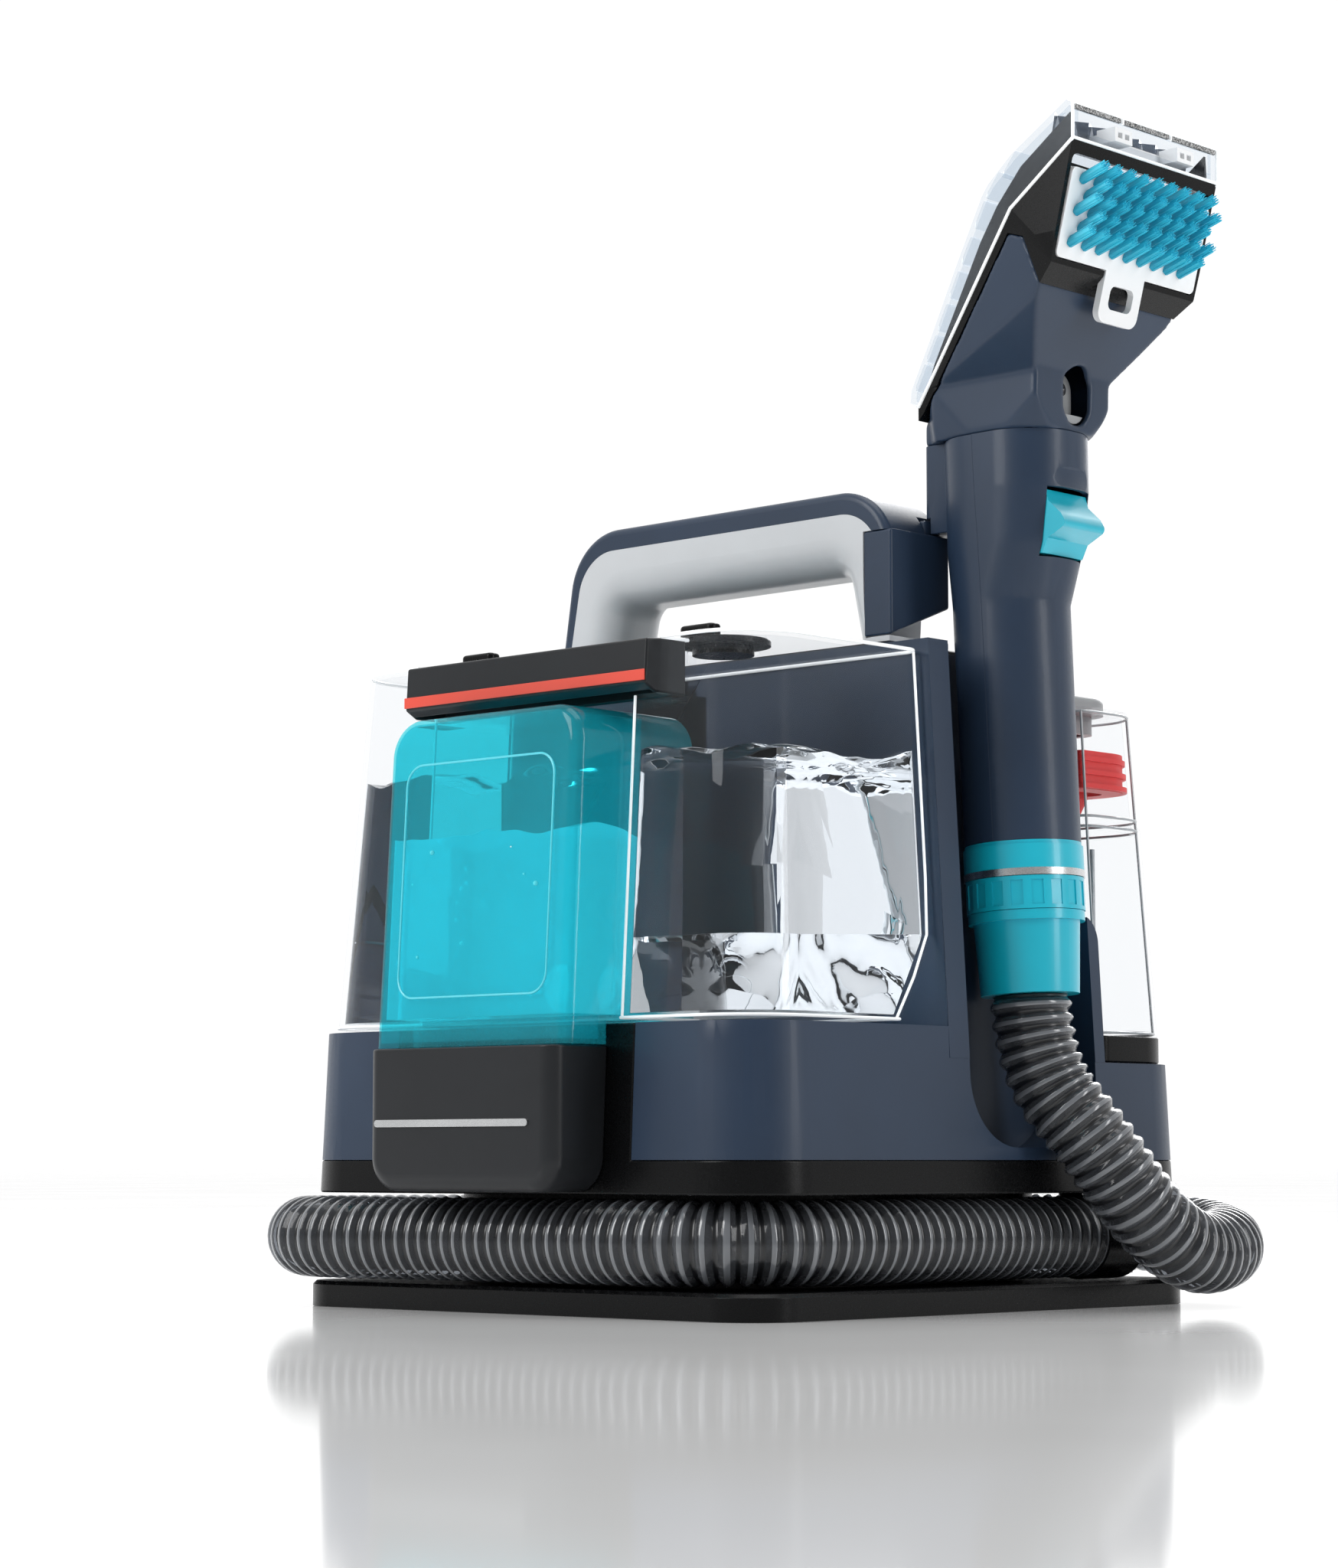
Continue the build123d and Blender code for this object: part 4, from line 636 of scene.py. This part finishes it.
def clean_tank_beads():
    """Glowing white beads along the clean tank's rims, the edges of its bay and its rear edges, as painted
    highlights.
    """
    bm = bmesh.new()
    bead(bm, tank_rim(0.2755, NOTCH_HALF, NOTCH_BACK), 0.0008, True)
    bead(bm, tank_rim(0.1203, BAY_HALF, BAY_BACK, CHAMFER_Y, 0.0005), 0.0007, True)
    for sign in (-1, 1):
        bay_x = sign * (BAY_HALF + 0.0007)
        bead(bm, [(bay_x, tank_front(z), z) for z in (0.121, 0.160, 0.200, BAY_TOP)])
        bead(bm, [(sign * (tank_half_x(z) - 0.0022), y, z) for y, z in TANK_REAR_EDGE])
    new_piece("tank_highlight_beads", bm, painted_highlight_white, "clean_tank")


clean_tank_beads()

RECOVERY_FOOT, RECOVERY_RISE = 0.117, 0.145
RECOVERY_SIDE, RECOVERY_SIDE_DRAFT = 0.131, 0.0075
RECOVERY_FRONT, RECOVERY_BACK, RECOVERY_BACK_DRAFT = 0.082, 0.1405, 0.007


def recovery_rim(z):
    """The recovery tank's outline at a height."""
    share = (z - RECOVERY_FOOT) / RECOVERY_RISE
    half_x = RECOVERY_SIDE - share * RECOVERY_SIDE_DRAFT
    back = RECOVERY_BACK - share * RECOVERY_BACK_DRAFT
    return [(x, y, z) for x, y in tapered_outline(half_x, RECOVERY_FRONT, back, 0.006, 0.027)]


def recovery_tank_beads():
    """Grey beads along the recovery tank's rims and corners as painted highlights, and four upright rods
    inside it.
    """
    bm = bmesh.new()
    for z in (0.1185, 0.209, 0.2135, 0.260):
        bead(bm, recovery_rim(z), closed=True)
    for corner in range(4):
        middle = ARC_POINTS * corner + ARC_POINTS // 2
        bead(bm, [recovery_rim(z)[middle] for z in (0.118, 0.165, 0.212, 0.2605)])
    for x in (0.088, 0.097, 0.106, 0.115):
        bead(bm, [(x, 0.1, z) for z in (0.121, 0.16, 0.200)], 0.0011)
    new_piece("recovery_highlight_beads", bm, painted_highlight_grey, "dirty_tank")


recovery_tank_beads()

SOLUTION_FOOT, SOLUTION_RISE = 0.1216, 0.1144
SOLUTION_FRONT, SOLUTION_LEAN = -0.1705, 0.0062


def rounded_loop(half_x, z0, z1, radius):
    """A rounded rectangle on the solution tank's sloping front."""
    corners = (
        corner_arc(-half_x + radius, z0 + radius, radius, 2)
        + corner_arc(half_x - radius, z0 + radius, radius, 3)
        + corner_arc(half_x - radius, z1 - radius, radius, 0)
        + corner_arc(-half_x + radius, z1 - radius, radius, 1)
    )
    proud = 0.0001
    return [
        (x, SOLUTION_FRONT + (z - SOLUTION_FOOT) / SOLUTION_RISE * SOLUTION_LEAN - proud, z)
        for x, z in corners
    ]


# A glowing teal bead round the pocket on the solution tank's front: a painted highlight along its edge.
pocket = bmesh.new()
bead(pocket, rounded_loop(0.044, 0.130, 0.228, 0.009), 0.0005, True)
new_piece("solution_highlight_beads", pocket, painted_highlight_teal, "solution_tank")


# ---------------------------------------------------------------- suction head
# Outlines here are in millimetres, in X and Z.
HEAD_HALF = 0.051
LIP_X, LIP_LOW, LIP_HIGH = 0.1998, 0.4826, 0.4974
LIP = [(199.6, 482.3), (199.8, 497.6)]
TRIM = [(199.6, 482.3), (166.7, 458.3), (148, 440.5), (130, 423.3), (112, 406.2), (93.5, 388.5)]


def head_width(x, z):
    """Half the head's width at a point of its side outline, in metres."""
    foot_x, foot_z, run, rise, length = 93, 388, 73.7, 70.3, 101.9
    up_slope = ((x - foot_x) * run + (z - foot_z) * rise) / length
    by_slope = 0.023 + (HEAD_HALF - 0.023) * min(1, max(0, up_slope / length))
    by_height = 0.026 + (HEAD_HALF - 0.026) * min(1, max(0, (z - 395) / 50))
    return min(by_slope, by_height)


def head_place(x, z, y):
    """A point given in millimetres in X and Z, and in metres in Y."""
    return Vector((x * MM, y, z * MM))


def head_beads():
    """Glowing white beads round the lip, down the trim and between the lip's pads, as painted highlights."""
    bm = bmesh.new()
    for sign in (-1, 1):
        bead(bm, [head_place(x, z, TOOL_Y + sign * HEAD_HALF) for x, z in LIP], 0.0007)
        bead(bm, [head_place(x, z, TOOL_Y + sign * head_width(x, z)) for x, z in TRIM], 0.0008)
    for z in (LIP_LOW, LIP_HIGH):
        bead(bm, [(LIP_X, TOOL_Y - HEAD_HALF, z), (LIP_X, TOOL_Y + HEAD_HALF, z)], 0.0007)
    for sign in (-1, 1):
        bead(bm, [(LIP_X + 0.0003, TOOL_Y + sign * 0.017, z) for z in (0.4946, 0.4976)])
    new_piece("head_highlight_beads", bm, painted_highlight_white, "tool")


def speckled_material():
    """Grey pad with dark and light specks."""
    s = Shader("speckled_pad")
    specks = s.grain(1500, 2)
    made = s.principled(Roughness=s.spread(specks, 0.5, 0.8), Normal=s.bump(specks, 0.0002, 0.7))
    s.put(made.inputs["Base Color"], s.tones(specks, (0.05, 0.05, 0.05), (0.55, 0.55, 0.55), 0.42, 0.6))
    return s.done(made.outputs[0])


def lip_pads():
    """Three speckled pads along the top of the lip."""
    half = 0.0158
    bm = bmesh.new()
    for middle in (TOOL_Y - 0.034, TOOL_Y, TOOL_Y + 0.034):
        slab(bm, (0.1988, middle - half, 0.4950), (0.2002, middle + half, 0.4972))
    new_piece("lip_pads", bm, speckled_material(), "tool", smooth=False)


def lip_window():
    """The faceted wall that shows behind the suction slot."""
    columns, width = 16, 0.094
    bm = bmesh.new()
    low, high = [], []
    for i in range(columns + 1):
        y = TOOL_Y - width / 2 + width * i / columns
        low.append(bm.verts.new((0.1850 + 0.002 * (i % 2), y, 0.4835)))
        high.append(bm.verts.new((0.1875 - 0.003 * (i % 2), y, 0.4965)))
    for i in range(columns):
        if i % 2:
            bm.faces.new((low[i], low[i + 1], high[i]))
            bm.faces.new((low[i + 1], high[i + 1], high[i]))
        else:
            bm.faces.new((low[i], low[i + 1], high[i + 1]))
            bm.faces.new((low[i], high[i + 1], high[i]))
    material = moulded("window_grey", (0.10, 0.12, 0.16), 0.25, coat=0.6)
    new_piece("lip_window", bm, material, "tool", smooth=False)


# The lower edge of the side panel from the lip down, then its upper edge back up
SIDE_PANEL = [
    (196.5, 484.5), (167.5, 462.3), (140, 436.2), (118, 415.2), (98, 396.2),
    (104, 405), (122, 425.5), (143, 449.5), (156, 462), (170, 476.2), (196, 494.5),
]


def side_panels():
    """Smoked panels just inside the nozzle's sides."""
    bm = bmesh.new()
    count = len(SIDE_PANEL)
    for sign in (-1, 1):
        skins = []
        for depth in (0.0030, 0.0042):
            skins.append([
                bm.verts.new(head_place(x, z, TOOL_Y + sign * (head_width(x, z) - depth)))
                for x, z in SIDE_PANEL
            ])
        outer, inner = skins
        for i in range(4):
            corners = (i, i + 1, count - 2 - i, count - 1 - i)
            bm.faces.new([outer[k] for k in corners])
            bm.faces.new([inner[k] for k in reversed(corners)])
        bm.faces.new([outer[k] for k in (4, 5, 6)])
        bm.faces.new([inner[k] for k in (6, 5, 4)])
        for i in range(count):
            j = (i + 1) % count
            bm.faces.new((outer[i], inner[i], inner[j], outer[j]))
    bmesh.ops.recalc_face_normals(bm, faces=bm.faces)
    material = moulded("smoked", (0.012, 0.013, 0.015), 0.2, coat=0.5)
    new_piece("nozzle_side_panels", bm, material, "tool")


RIDGE_LINE = [Vector(place) for place in (
    (168, 481.6), (150, 466.8), (128, 441.4), (108, 417.4), (89, 395.6),
)]
RIDGE_COUNT, RIDGE_HALF, RIDGE_HEIGHT = 8, 6.2, 3.2


def back_ridges():
    """Clear wedges that step down the back of the nozzle."""
    bm = bmesh.new()
    for k in range(RIDGE_COUNT):
        place = (k + 0.5) / RIDGE_COUNT * (len(RIDGE_LINE) - 1)
        index = min(int(place), len(RIDGE_LINE) - 2)
        middle = RIDGE_LINE[index].lerp(RIDGE_LINE[index + 1], place - index)
        run = (RIDGE_LINE[index] - RIDGE_LINE[index + 1]).normalized()
        out = Vector((-run.y, run.x))
        profile = [
            middle - run * RIDGE_HALF - out * 0.6,
            middle + run * RIDGE_HALF - out * 0.6,
            middle + run * RIDGE_HALF + out * RIDGE_HEIGHT,
            middle - run * (RIDGE_HALF - 2.4) + out * 0.9,
        ]
        width = max(0.012, head_width(middle.x + 4, middle.y - 4) - 0.004)
        ends = [[head_place(p.x, p.y, TOOL_Y + sign * width) for p in profile] for sign in (-1, 1)]
        rings_to_bmesh(ends, True, bm)
    bmesh.ops.recalc_face_normals(bm, faces=bm.faces)
    obj = new_piece("nozzle_ridges", bm, MATERIALS["nozzle_clear"], "tool", sharp=30)
    edge = obj.modifiers.new("edge", "BEVEL")
    edge.width = 0.0007
    edge.segments = 2


head_beads()
lip_pads()
lip_window()
side_panels()
back_ridges()


# ---------------------------------------------------------------- bristles
FACE_TILT, TUFT_TILT = math.radians(15), math.radians(17)
FACE_ORIGIN = Vector((0.1995, TOOL_Y, 0.4823))
FACE_UP = Vector((math.sin(FACE_TILT), 0, math.cos(FACE_TILT)))
FACE_OUT = Vector((math.cos(FACE_TILT), 0, -math.sin(FACE_TILT)))
TUFT_AIM = Vector((math.cos(TUFT_TILT), 0, math.sin(TUFT_TILT)))
TUFT_ACROSS = Vector((0, 1, 0))
TUFT_UP = TUFT_AIM.cross(TUFT_ACROSS)
TUFT_RADIUS, TUFT_LENGTH = 0.0023, 0.0135
TUFT_ROWS, TUFT_COLUMNS = 5, 9
COLUMN_PITCH, ROW_PITCH, TOP_ROW, ROW_SHIFT = 0.0096, 0.0066, 0.0155, 0.0024
FIBRES = 30  # in each tuft
GOLDEN_TURN = 2.39996  # spreads a tuft's fibres evenly over its foot


def bristle_material_shaded_foot():
    """Dyed nylon with random streaks, darker near the plate: painted shade at the tufts' feet."""
    s = Shader("bristle_fibres")
    rise = s.add("ShaderNodeVectorMath", operation="DOT_PRODUCT")
    s.put(rise.inputs[0], s.place)
    s.put(rise.inputs[1], tuple(FACE_OUT))
    foot = FACE_ORIGIN.dot(FACE_OUT)
    share = s.spread(rise.outputs["Value"], 0.0, 1.0, foot, foot + 0.013)
    streaks = s.grain(2600, 2)
    # Random streaks plus the rise from the plate; the low end darkens the fibres near their feet as painted
    # shade.
    streaks_and_foot_shade = s.add("ShaderNodeMath", operation="MULTIPLY_ADD")
    s.put(streaks_and_foot_shade.inputs[0], streaks)
    s.put(streaks_and_foot_shade.inputs[1], 0.3)
    s.put(streaks_and_foot_shade.inputs[2], share)
    made = s.principled(Roughness=s.spread(streaks, 0.3, 0.45))
    colour = s.tones(streaks_and_foot_shade.outputs[0], (0.003, 0.27, 0.42), (0.04, 0.62, 0.82), 0.1, 1.1)
    s.put(made.inputs["Base Color"], colour)
    return s.done(made.outputs[0])


def tuft_ring(middle, size, sides):
    """A ring of points round a tuft's direction."""
    turns = [math.tau * k / sides for k in range(sides)]
    return [middle + (TUFT_ACROSS * math.cos(a) + TUFT_UP * math.sin(a)) * size for a in turns]


def add_tuft(bm, foot, pick):
    """One tuft: a tapered core with fibres round and past it that spread at their tips."""
    core = []
    for share in (0.0, 0.5, 1.0):
        middle = foot + TUFT_AIM * (TUFT_LENGTH * 0.9 * share)
        core.append(tuft_ring(middle, TUFT_RADIUS * 0.93 * (1 - 0.10 * share), 16))
    rings_to_bmesh(core, True, bm)
    for k in range(FIBRES):
        turn = k * GOLDEN_TURN
        reach = TUFT_RADIUS * math.sqrt((k + 0.5) / FIBRES) * 0.93
        offset = (TUFT_ACROSS * math.cos(turn) + TUFT_UP * math.sin(turn)) * reach
        splay = 0.02 + pick.uniform(-0.03, 0.13)
        length = TUFT_LENGTH * pick.uniform(0.94, 1.05)
        fibre = []
        for share, size in ((0.0, 0.00030), (0.6, 0.00030), (1.0, 0.00018)):
            middle = foot + TUFT_AIM * (length * share) + offset * (1 + splay * share)
            fibre.append(tuft_ring(middle, size, 5))
        rings_to_bmesh(fibre, True, bm)


fibre_pick = random.Random(17)
tufts = bmesh.new()
for row in range(TUFT_ROWS):
    shift = ROW_SHIFT if row % 2 else -ROW_SHIFT
    for column in range(TUFT_COLUMNS):
        across = shift + COLUMN_PITCH * (column - TUFT_COLUMNS // 2)
        down = TOP_ROW + ROW_PITCH * row
        tuft_foot = FACE_ORIGIN + TUFT_ACROSS * across - FACE_UP * down + FACE_OUT * 0.0008
        add_tuft(tufts, tuft_foot, fibre_pick)
brush_body = body_of(nodes["bristle_tufts"])[0]
bristles = new_piece("bristle_fibres", tufts, bristle_material_shaded_foot(), brush_body, sharp=50)
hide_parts("bristle_tufts")


# ---------------------------------------------------------------- hose
HOSE_ROUTE = [
    (121, 78, 30), (121, 34, 30), (123.5, -22, 30), (123, -76, 30), (119, -114, 30),
    (97, -137, 30), (55, -141, 30), (0, -141.5, 30), (-54, -143.5, 30), (-105, -151, 30),
    (-142, -140, 30), (-150, -98, 30), (-138, -48, 30), (-127, 6, 30), (-123.5, 60, 30),
    (-118, 105, 30), (-96, 134, 30), (-54, 142, 30), (0, 142.5, 30), (52, 145, 30),
    (98, 155, 31), (136, 156, 29), (164, 131, 25), (172, 92, 22), (169, 62, 40),
    (158.5, 43, 70), (135, 31, 101.6),
]
HOSE_OD = 0.035
CUFF_END = -0.06152
RIB_PITCH, RIB_DEPTH, CORE_RADIUS = 0.0068, 0.0023, 0.0133
hose_end = TOOL_POINT + TOOL_AXIS * CUFF_END
route = [Vector(point) * MM for point in HOSE_ROUTE] + [hose_end]


def smooth_line(points, name):
    """The points along a NURBS spline that has the given points as its control points."""
    curve = bpy.data.curves.new(name, "CURVE")
    curve.dimensions = "3D"
    spline = curve.splines.new("NURBS")
    spline.points.add(len(points) - 1)
    for target, point in zip(spline.points, points):
        target.co = (*point, 1)
    spline.order_u = 3
    spline.use_endpoint_u = True
    spline.resolution_u = 24
    holder = bpy.data.objects.new(name, curve)
    bpy.context.scene.collection.objects.link(holder)
    line = bpy.data.meshes.new_from_object(holder)
    found = [vert.co.copy() for vert in line.vertices]
    bpy.data.objects.remove(holder)
    bpy.data.meshes.remove(line)
    return found


def along(points, step):
    """Points and directions at even steps along a line."""
    reached, target, found = 0.0, 0.0, []
    for a, b in zip(points, points[1:]):
        run = (b - a).length
        while run > 0 and target <= reached + run:
            share = (target - reached) / run
            found.append((a.lerp(b, share), (b - a).normalized()))
            target += step
        reached += run
    return found


def tube_rings(stations, radius_at, sides):
    """Rings round a line, carried along it without twisting."""
    side = Vector((0, 0, 1))
    rings = []
    for index, (point, direction) in enumerate(stations):
        side = (side - direction * side.dot(direction)).normalized()
        across = direction.cross(side)
        radius = radius_at(index)
        rings.append(
            [
                point
                + (side * math.cos(math.tau * k / sides) + across * math.sin(math.tau * k / sides))
                * radius
                for k in range(sides)
            ]
        )
    return rings


hose_line = smooth_line(route, "hose_line")
STEPS_PER_RIB, HOSE_SIDES = 8, 40
stations = along(hose_line, RIB_PITCH / STEPS_PER_RIB)


def rib_radius(index):
    """The corrugated outside: round ribs with narrow valleys between them."""
    wave = 0.5 + 0.5 * math.cos(math.tau * index / STEPS_PER_RIB)
    return HOSE_OD / 2 - RIB_DEPTH * (1 - wave**0.6)


def hose_shell_material():
    """Ribbed translucent hose: smoky see-through ribs with glossy crests."""
    s = Shader("hose_clear")
    haze = s.grain(90, 3)
    weight = s.add("ShaderNodeLayerWeight", Blend=0.4)
    share = s.spread(weight.outputs["Facing"], 0.3, 0.9, 0.2, 1.0)
    surface = s.principled(Roughness=s.spread(haze, 0.10, 0.2), Normal=s.bump(haze, 0.0002, 0.4))
    s.put(surface.inputs["Base Color"], s.tones(haze, (0.08, 0.085, 0.095), (0.17, 0.18, 0.20)))
    surface.inputs["Coat Weight"].default_value = 1.0
    surface.inputs["Coat Roughness"].default_value = 0.05
    see = s.add("ShaderNodeBsdfTransparent", Color=(0.5, 0.52, 0.55))
    return s.done(s.mix(share, see.outputs[0], surface.outputs[0]))


hose_rings = tube_rings(stations, rib_radius, HOSE_SIDES)
hose = new_piece("hose_ribbed", rings_to_bmesh(hose_rings), hose_shell_material(), None,
                 sharp=180)
HOSE_CREST = moulded("hose_crest", (0.15, 0.16, 0.175), 0.2, 900, spread=0.08, coat=1.0)
# The groove faces get a near-black copy of the hose plastic: painted shade in the grooves.
HOSE_GROOVE_SHADE = moulded("hose_groove_shade", (0.010, 0.011, 0.013), 0.3, 900, coat=0.3)
hose.data.materials.append(HOSE_CREST)
hose.data.materials.append(HOSE_GROOVE_SHADE)
# Crest faces take an opaque glossier grey; faces either side of each groove take the near-black
# painted-shade material.
for face in hose.data.polygons:
    part = (face.index // HOSE_SIDES) % STEPS_PER_RIB
    if part in (0, STEPS_PER_RIB - 1):  # each side of the crest
        face.material_index = 1
    elif part in (STEPS_PER_RIB // 2 - 1, STEPS_PER_RIB // 2):  # each side of the groove
        face.material_index = 2
# A near-black tube inside the see-through shell: painted shade standing in for the dark inside of the hollow
# hose.
core_stations = stations[2:-2:4]
core_rings = tube_rings(core_stations, lambda index: CORE_RADIUS, 24)
core = new_piece("hose_shade_core", rings_to_bmesh(core_rings), MATERIALS["duct_black"], None)
for piece in (hose, core):
    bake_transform(piece, "root", "tool", start=(0.15, 0.04, 0.049), end=(0.15, 0.04, 0.125))
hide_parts("hose")


# ---------------------------------------------------------------- stage, lights and camera
def floor_material():
    s = Shader("studio_floor")
    made = s.principled(Roughness=s.spread(s.grain(3), 0.07, 0.10))
    s.put(made.inputs["Base Color"], s.tones(s.grain(2), (0.82, 0.82, 0.82), (0.86, 0.86, 0.86)))
    made.inputs["Emission Color"].default_value = (1, 1, 1, 1)
    made.inputs["Emission Strength"].default_value = 0.08
    return s.done(made.outputs[0])


bpy.ops.mesh.primitive_plane_add(size=40, location=(0, 0, -0.0002))
floor = bpy.context.object
floor.name = "floor"
floor.data.materials.append(floor_material())

world = bpy.data.worlds.new("studio")
bpy.context.scene.world = world
world.use_nodes = True
sky = world.node_tree.nodes["Background"]
sky.inputs["Color"].default_value = (1, 1, 1, 1)
BRIGHT_SIDE = (-0.688, 0.725, 0.0)  # the studio is brightest behind the object
sky_place = world.node_tree.nodes.new("ShaderNodeTexCoord")
sky_side = world.node_tree.nodes.new("ShaderNodeVectorMath")
sky_side.operation = "DOT_PRODUCT"
sky_side.inputs[1].default_value = BRIGHT_SIDE
world.node_tree.links.new(sky_place.outputs["Generated"], sky_side.inputs[0])
sky_range = world.node_tree.nodes.new("ShaderNodeMapRange")
for key, number in (("From Min", -0.4), ("From Max", 0.6), ("To Min", 0.30), ("To Max", 1.04)):
    sky_range.inputs[key].default_value = number
world.node_tree.links.new(sky_side.outputs["Value"], sky_range.inputs["Value"])
world.node_tree.links.new(sky_range.outputs["Result"], sky.inputs["Strength"])


def soft_light(name, place, aim, size, energy):
    """A square soft box."""
    data = bpy.data.lights.new(name, "AREA")
    data.shape = "RECTANGLE"
    data.size, data.size_y = size
    data.energy = energy
    lamp = bpy.data.objects.new(name, data)
    lamp.location = place
    lamp.rotation_euler = (Vector(aim) - Vector(place)).to_track_quat("-Z", "Y").to_euler()
    bpy.context.scene.collection.objects.link(lamp)


soft_light("key", (-0.5, -1.7, 1.3), (0, 0, 0.2), (0.9, 1.4), 24)
soft_light("side", (1.9, 0.5, 0.9), (0.1, 0, 0.25), (0.5, 1.4), 12)
soft_light("back", (-0.6, 1.6, 1.2), (0, 0, 0.3), (1.2, 1.0), 20)
soft_light("top", (0.2, 0.0, 1.9), (0, 0, 0.2), (1.2, 1.2), 10)

camera_data = bpy.data.cameras.new("camera")
camera_data.sensor_width = 36
camera_data.lens = 85.13
camera_data.clip_start = 0.05
camera = bpy.data.objects.new("camera", camera_data)
camera.location = (1.107, -1.218, 0.063)
camera.rotation_euler = (math.radians(90 + 5.79), 0, math.radians(43.5))
bpy.context.scene.collection.objects.link(camera)
bpy.context.scene.camera = camera
bpy.context.scene.view_settings.view_transform = "Standard"
bpy.context.scene.view_settings.look = "None"
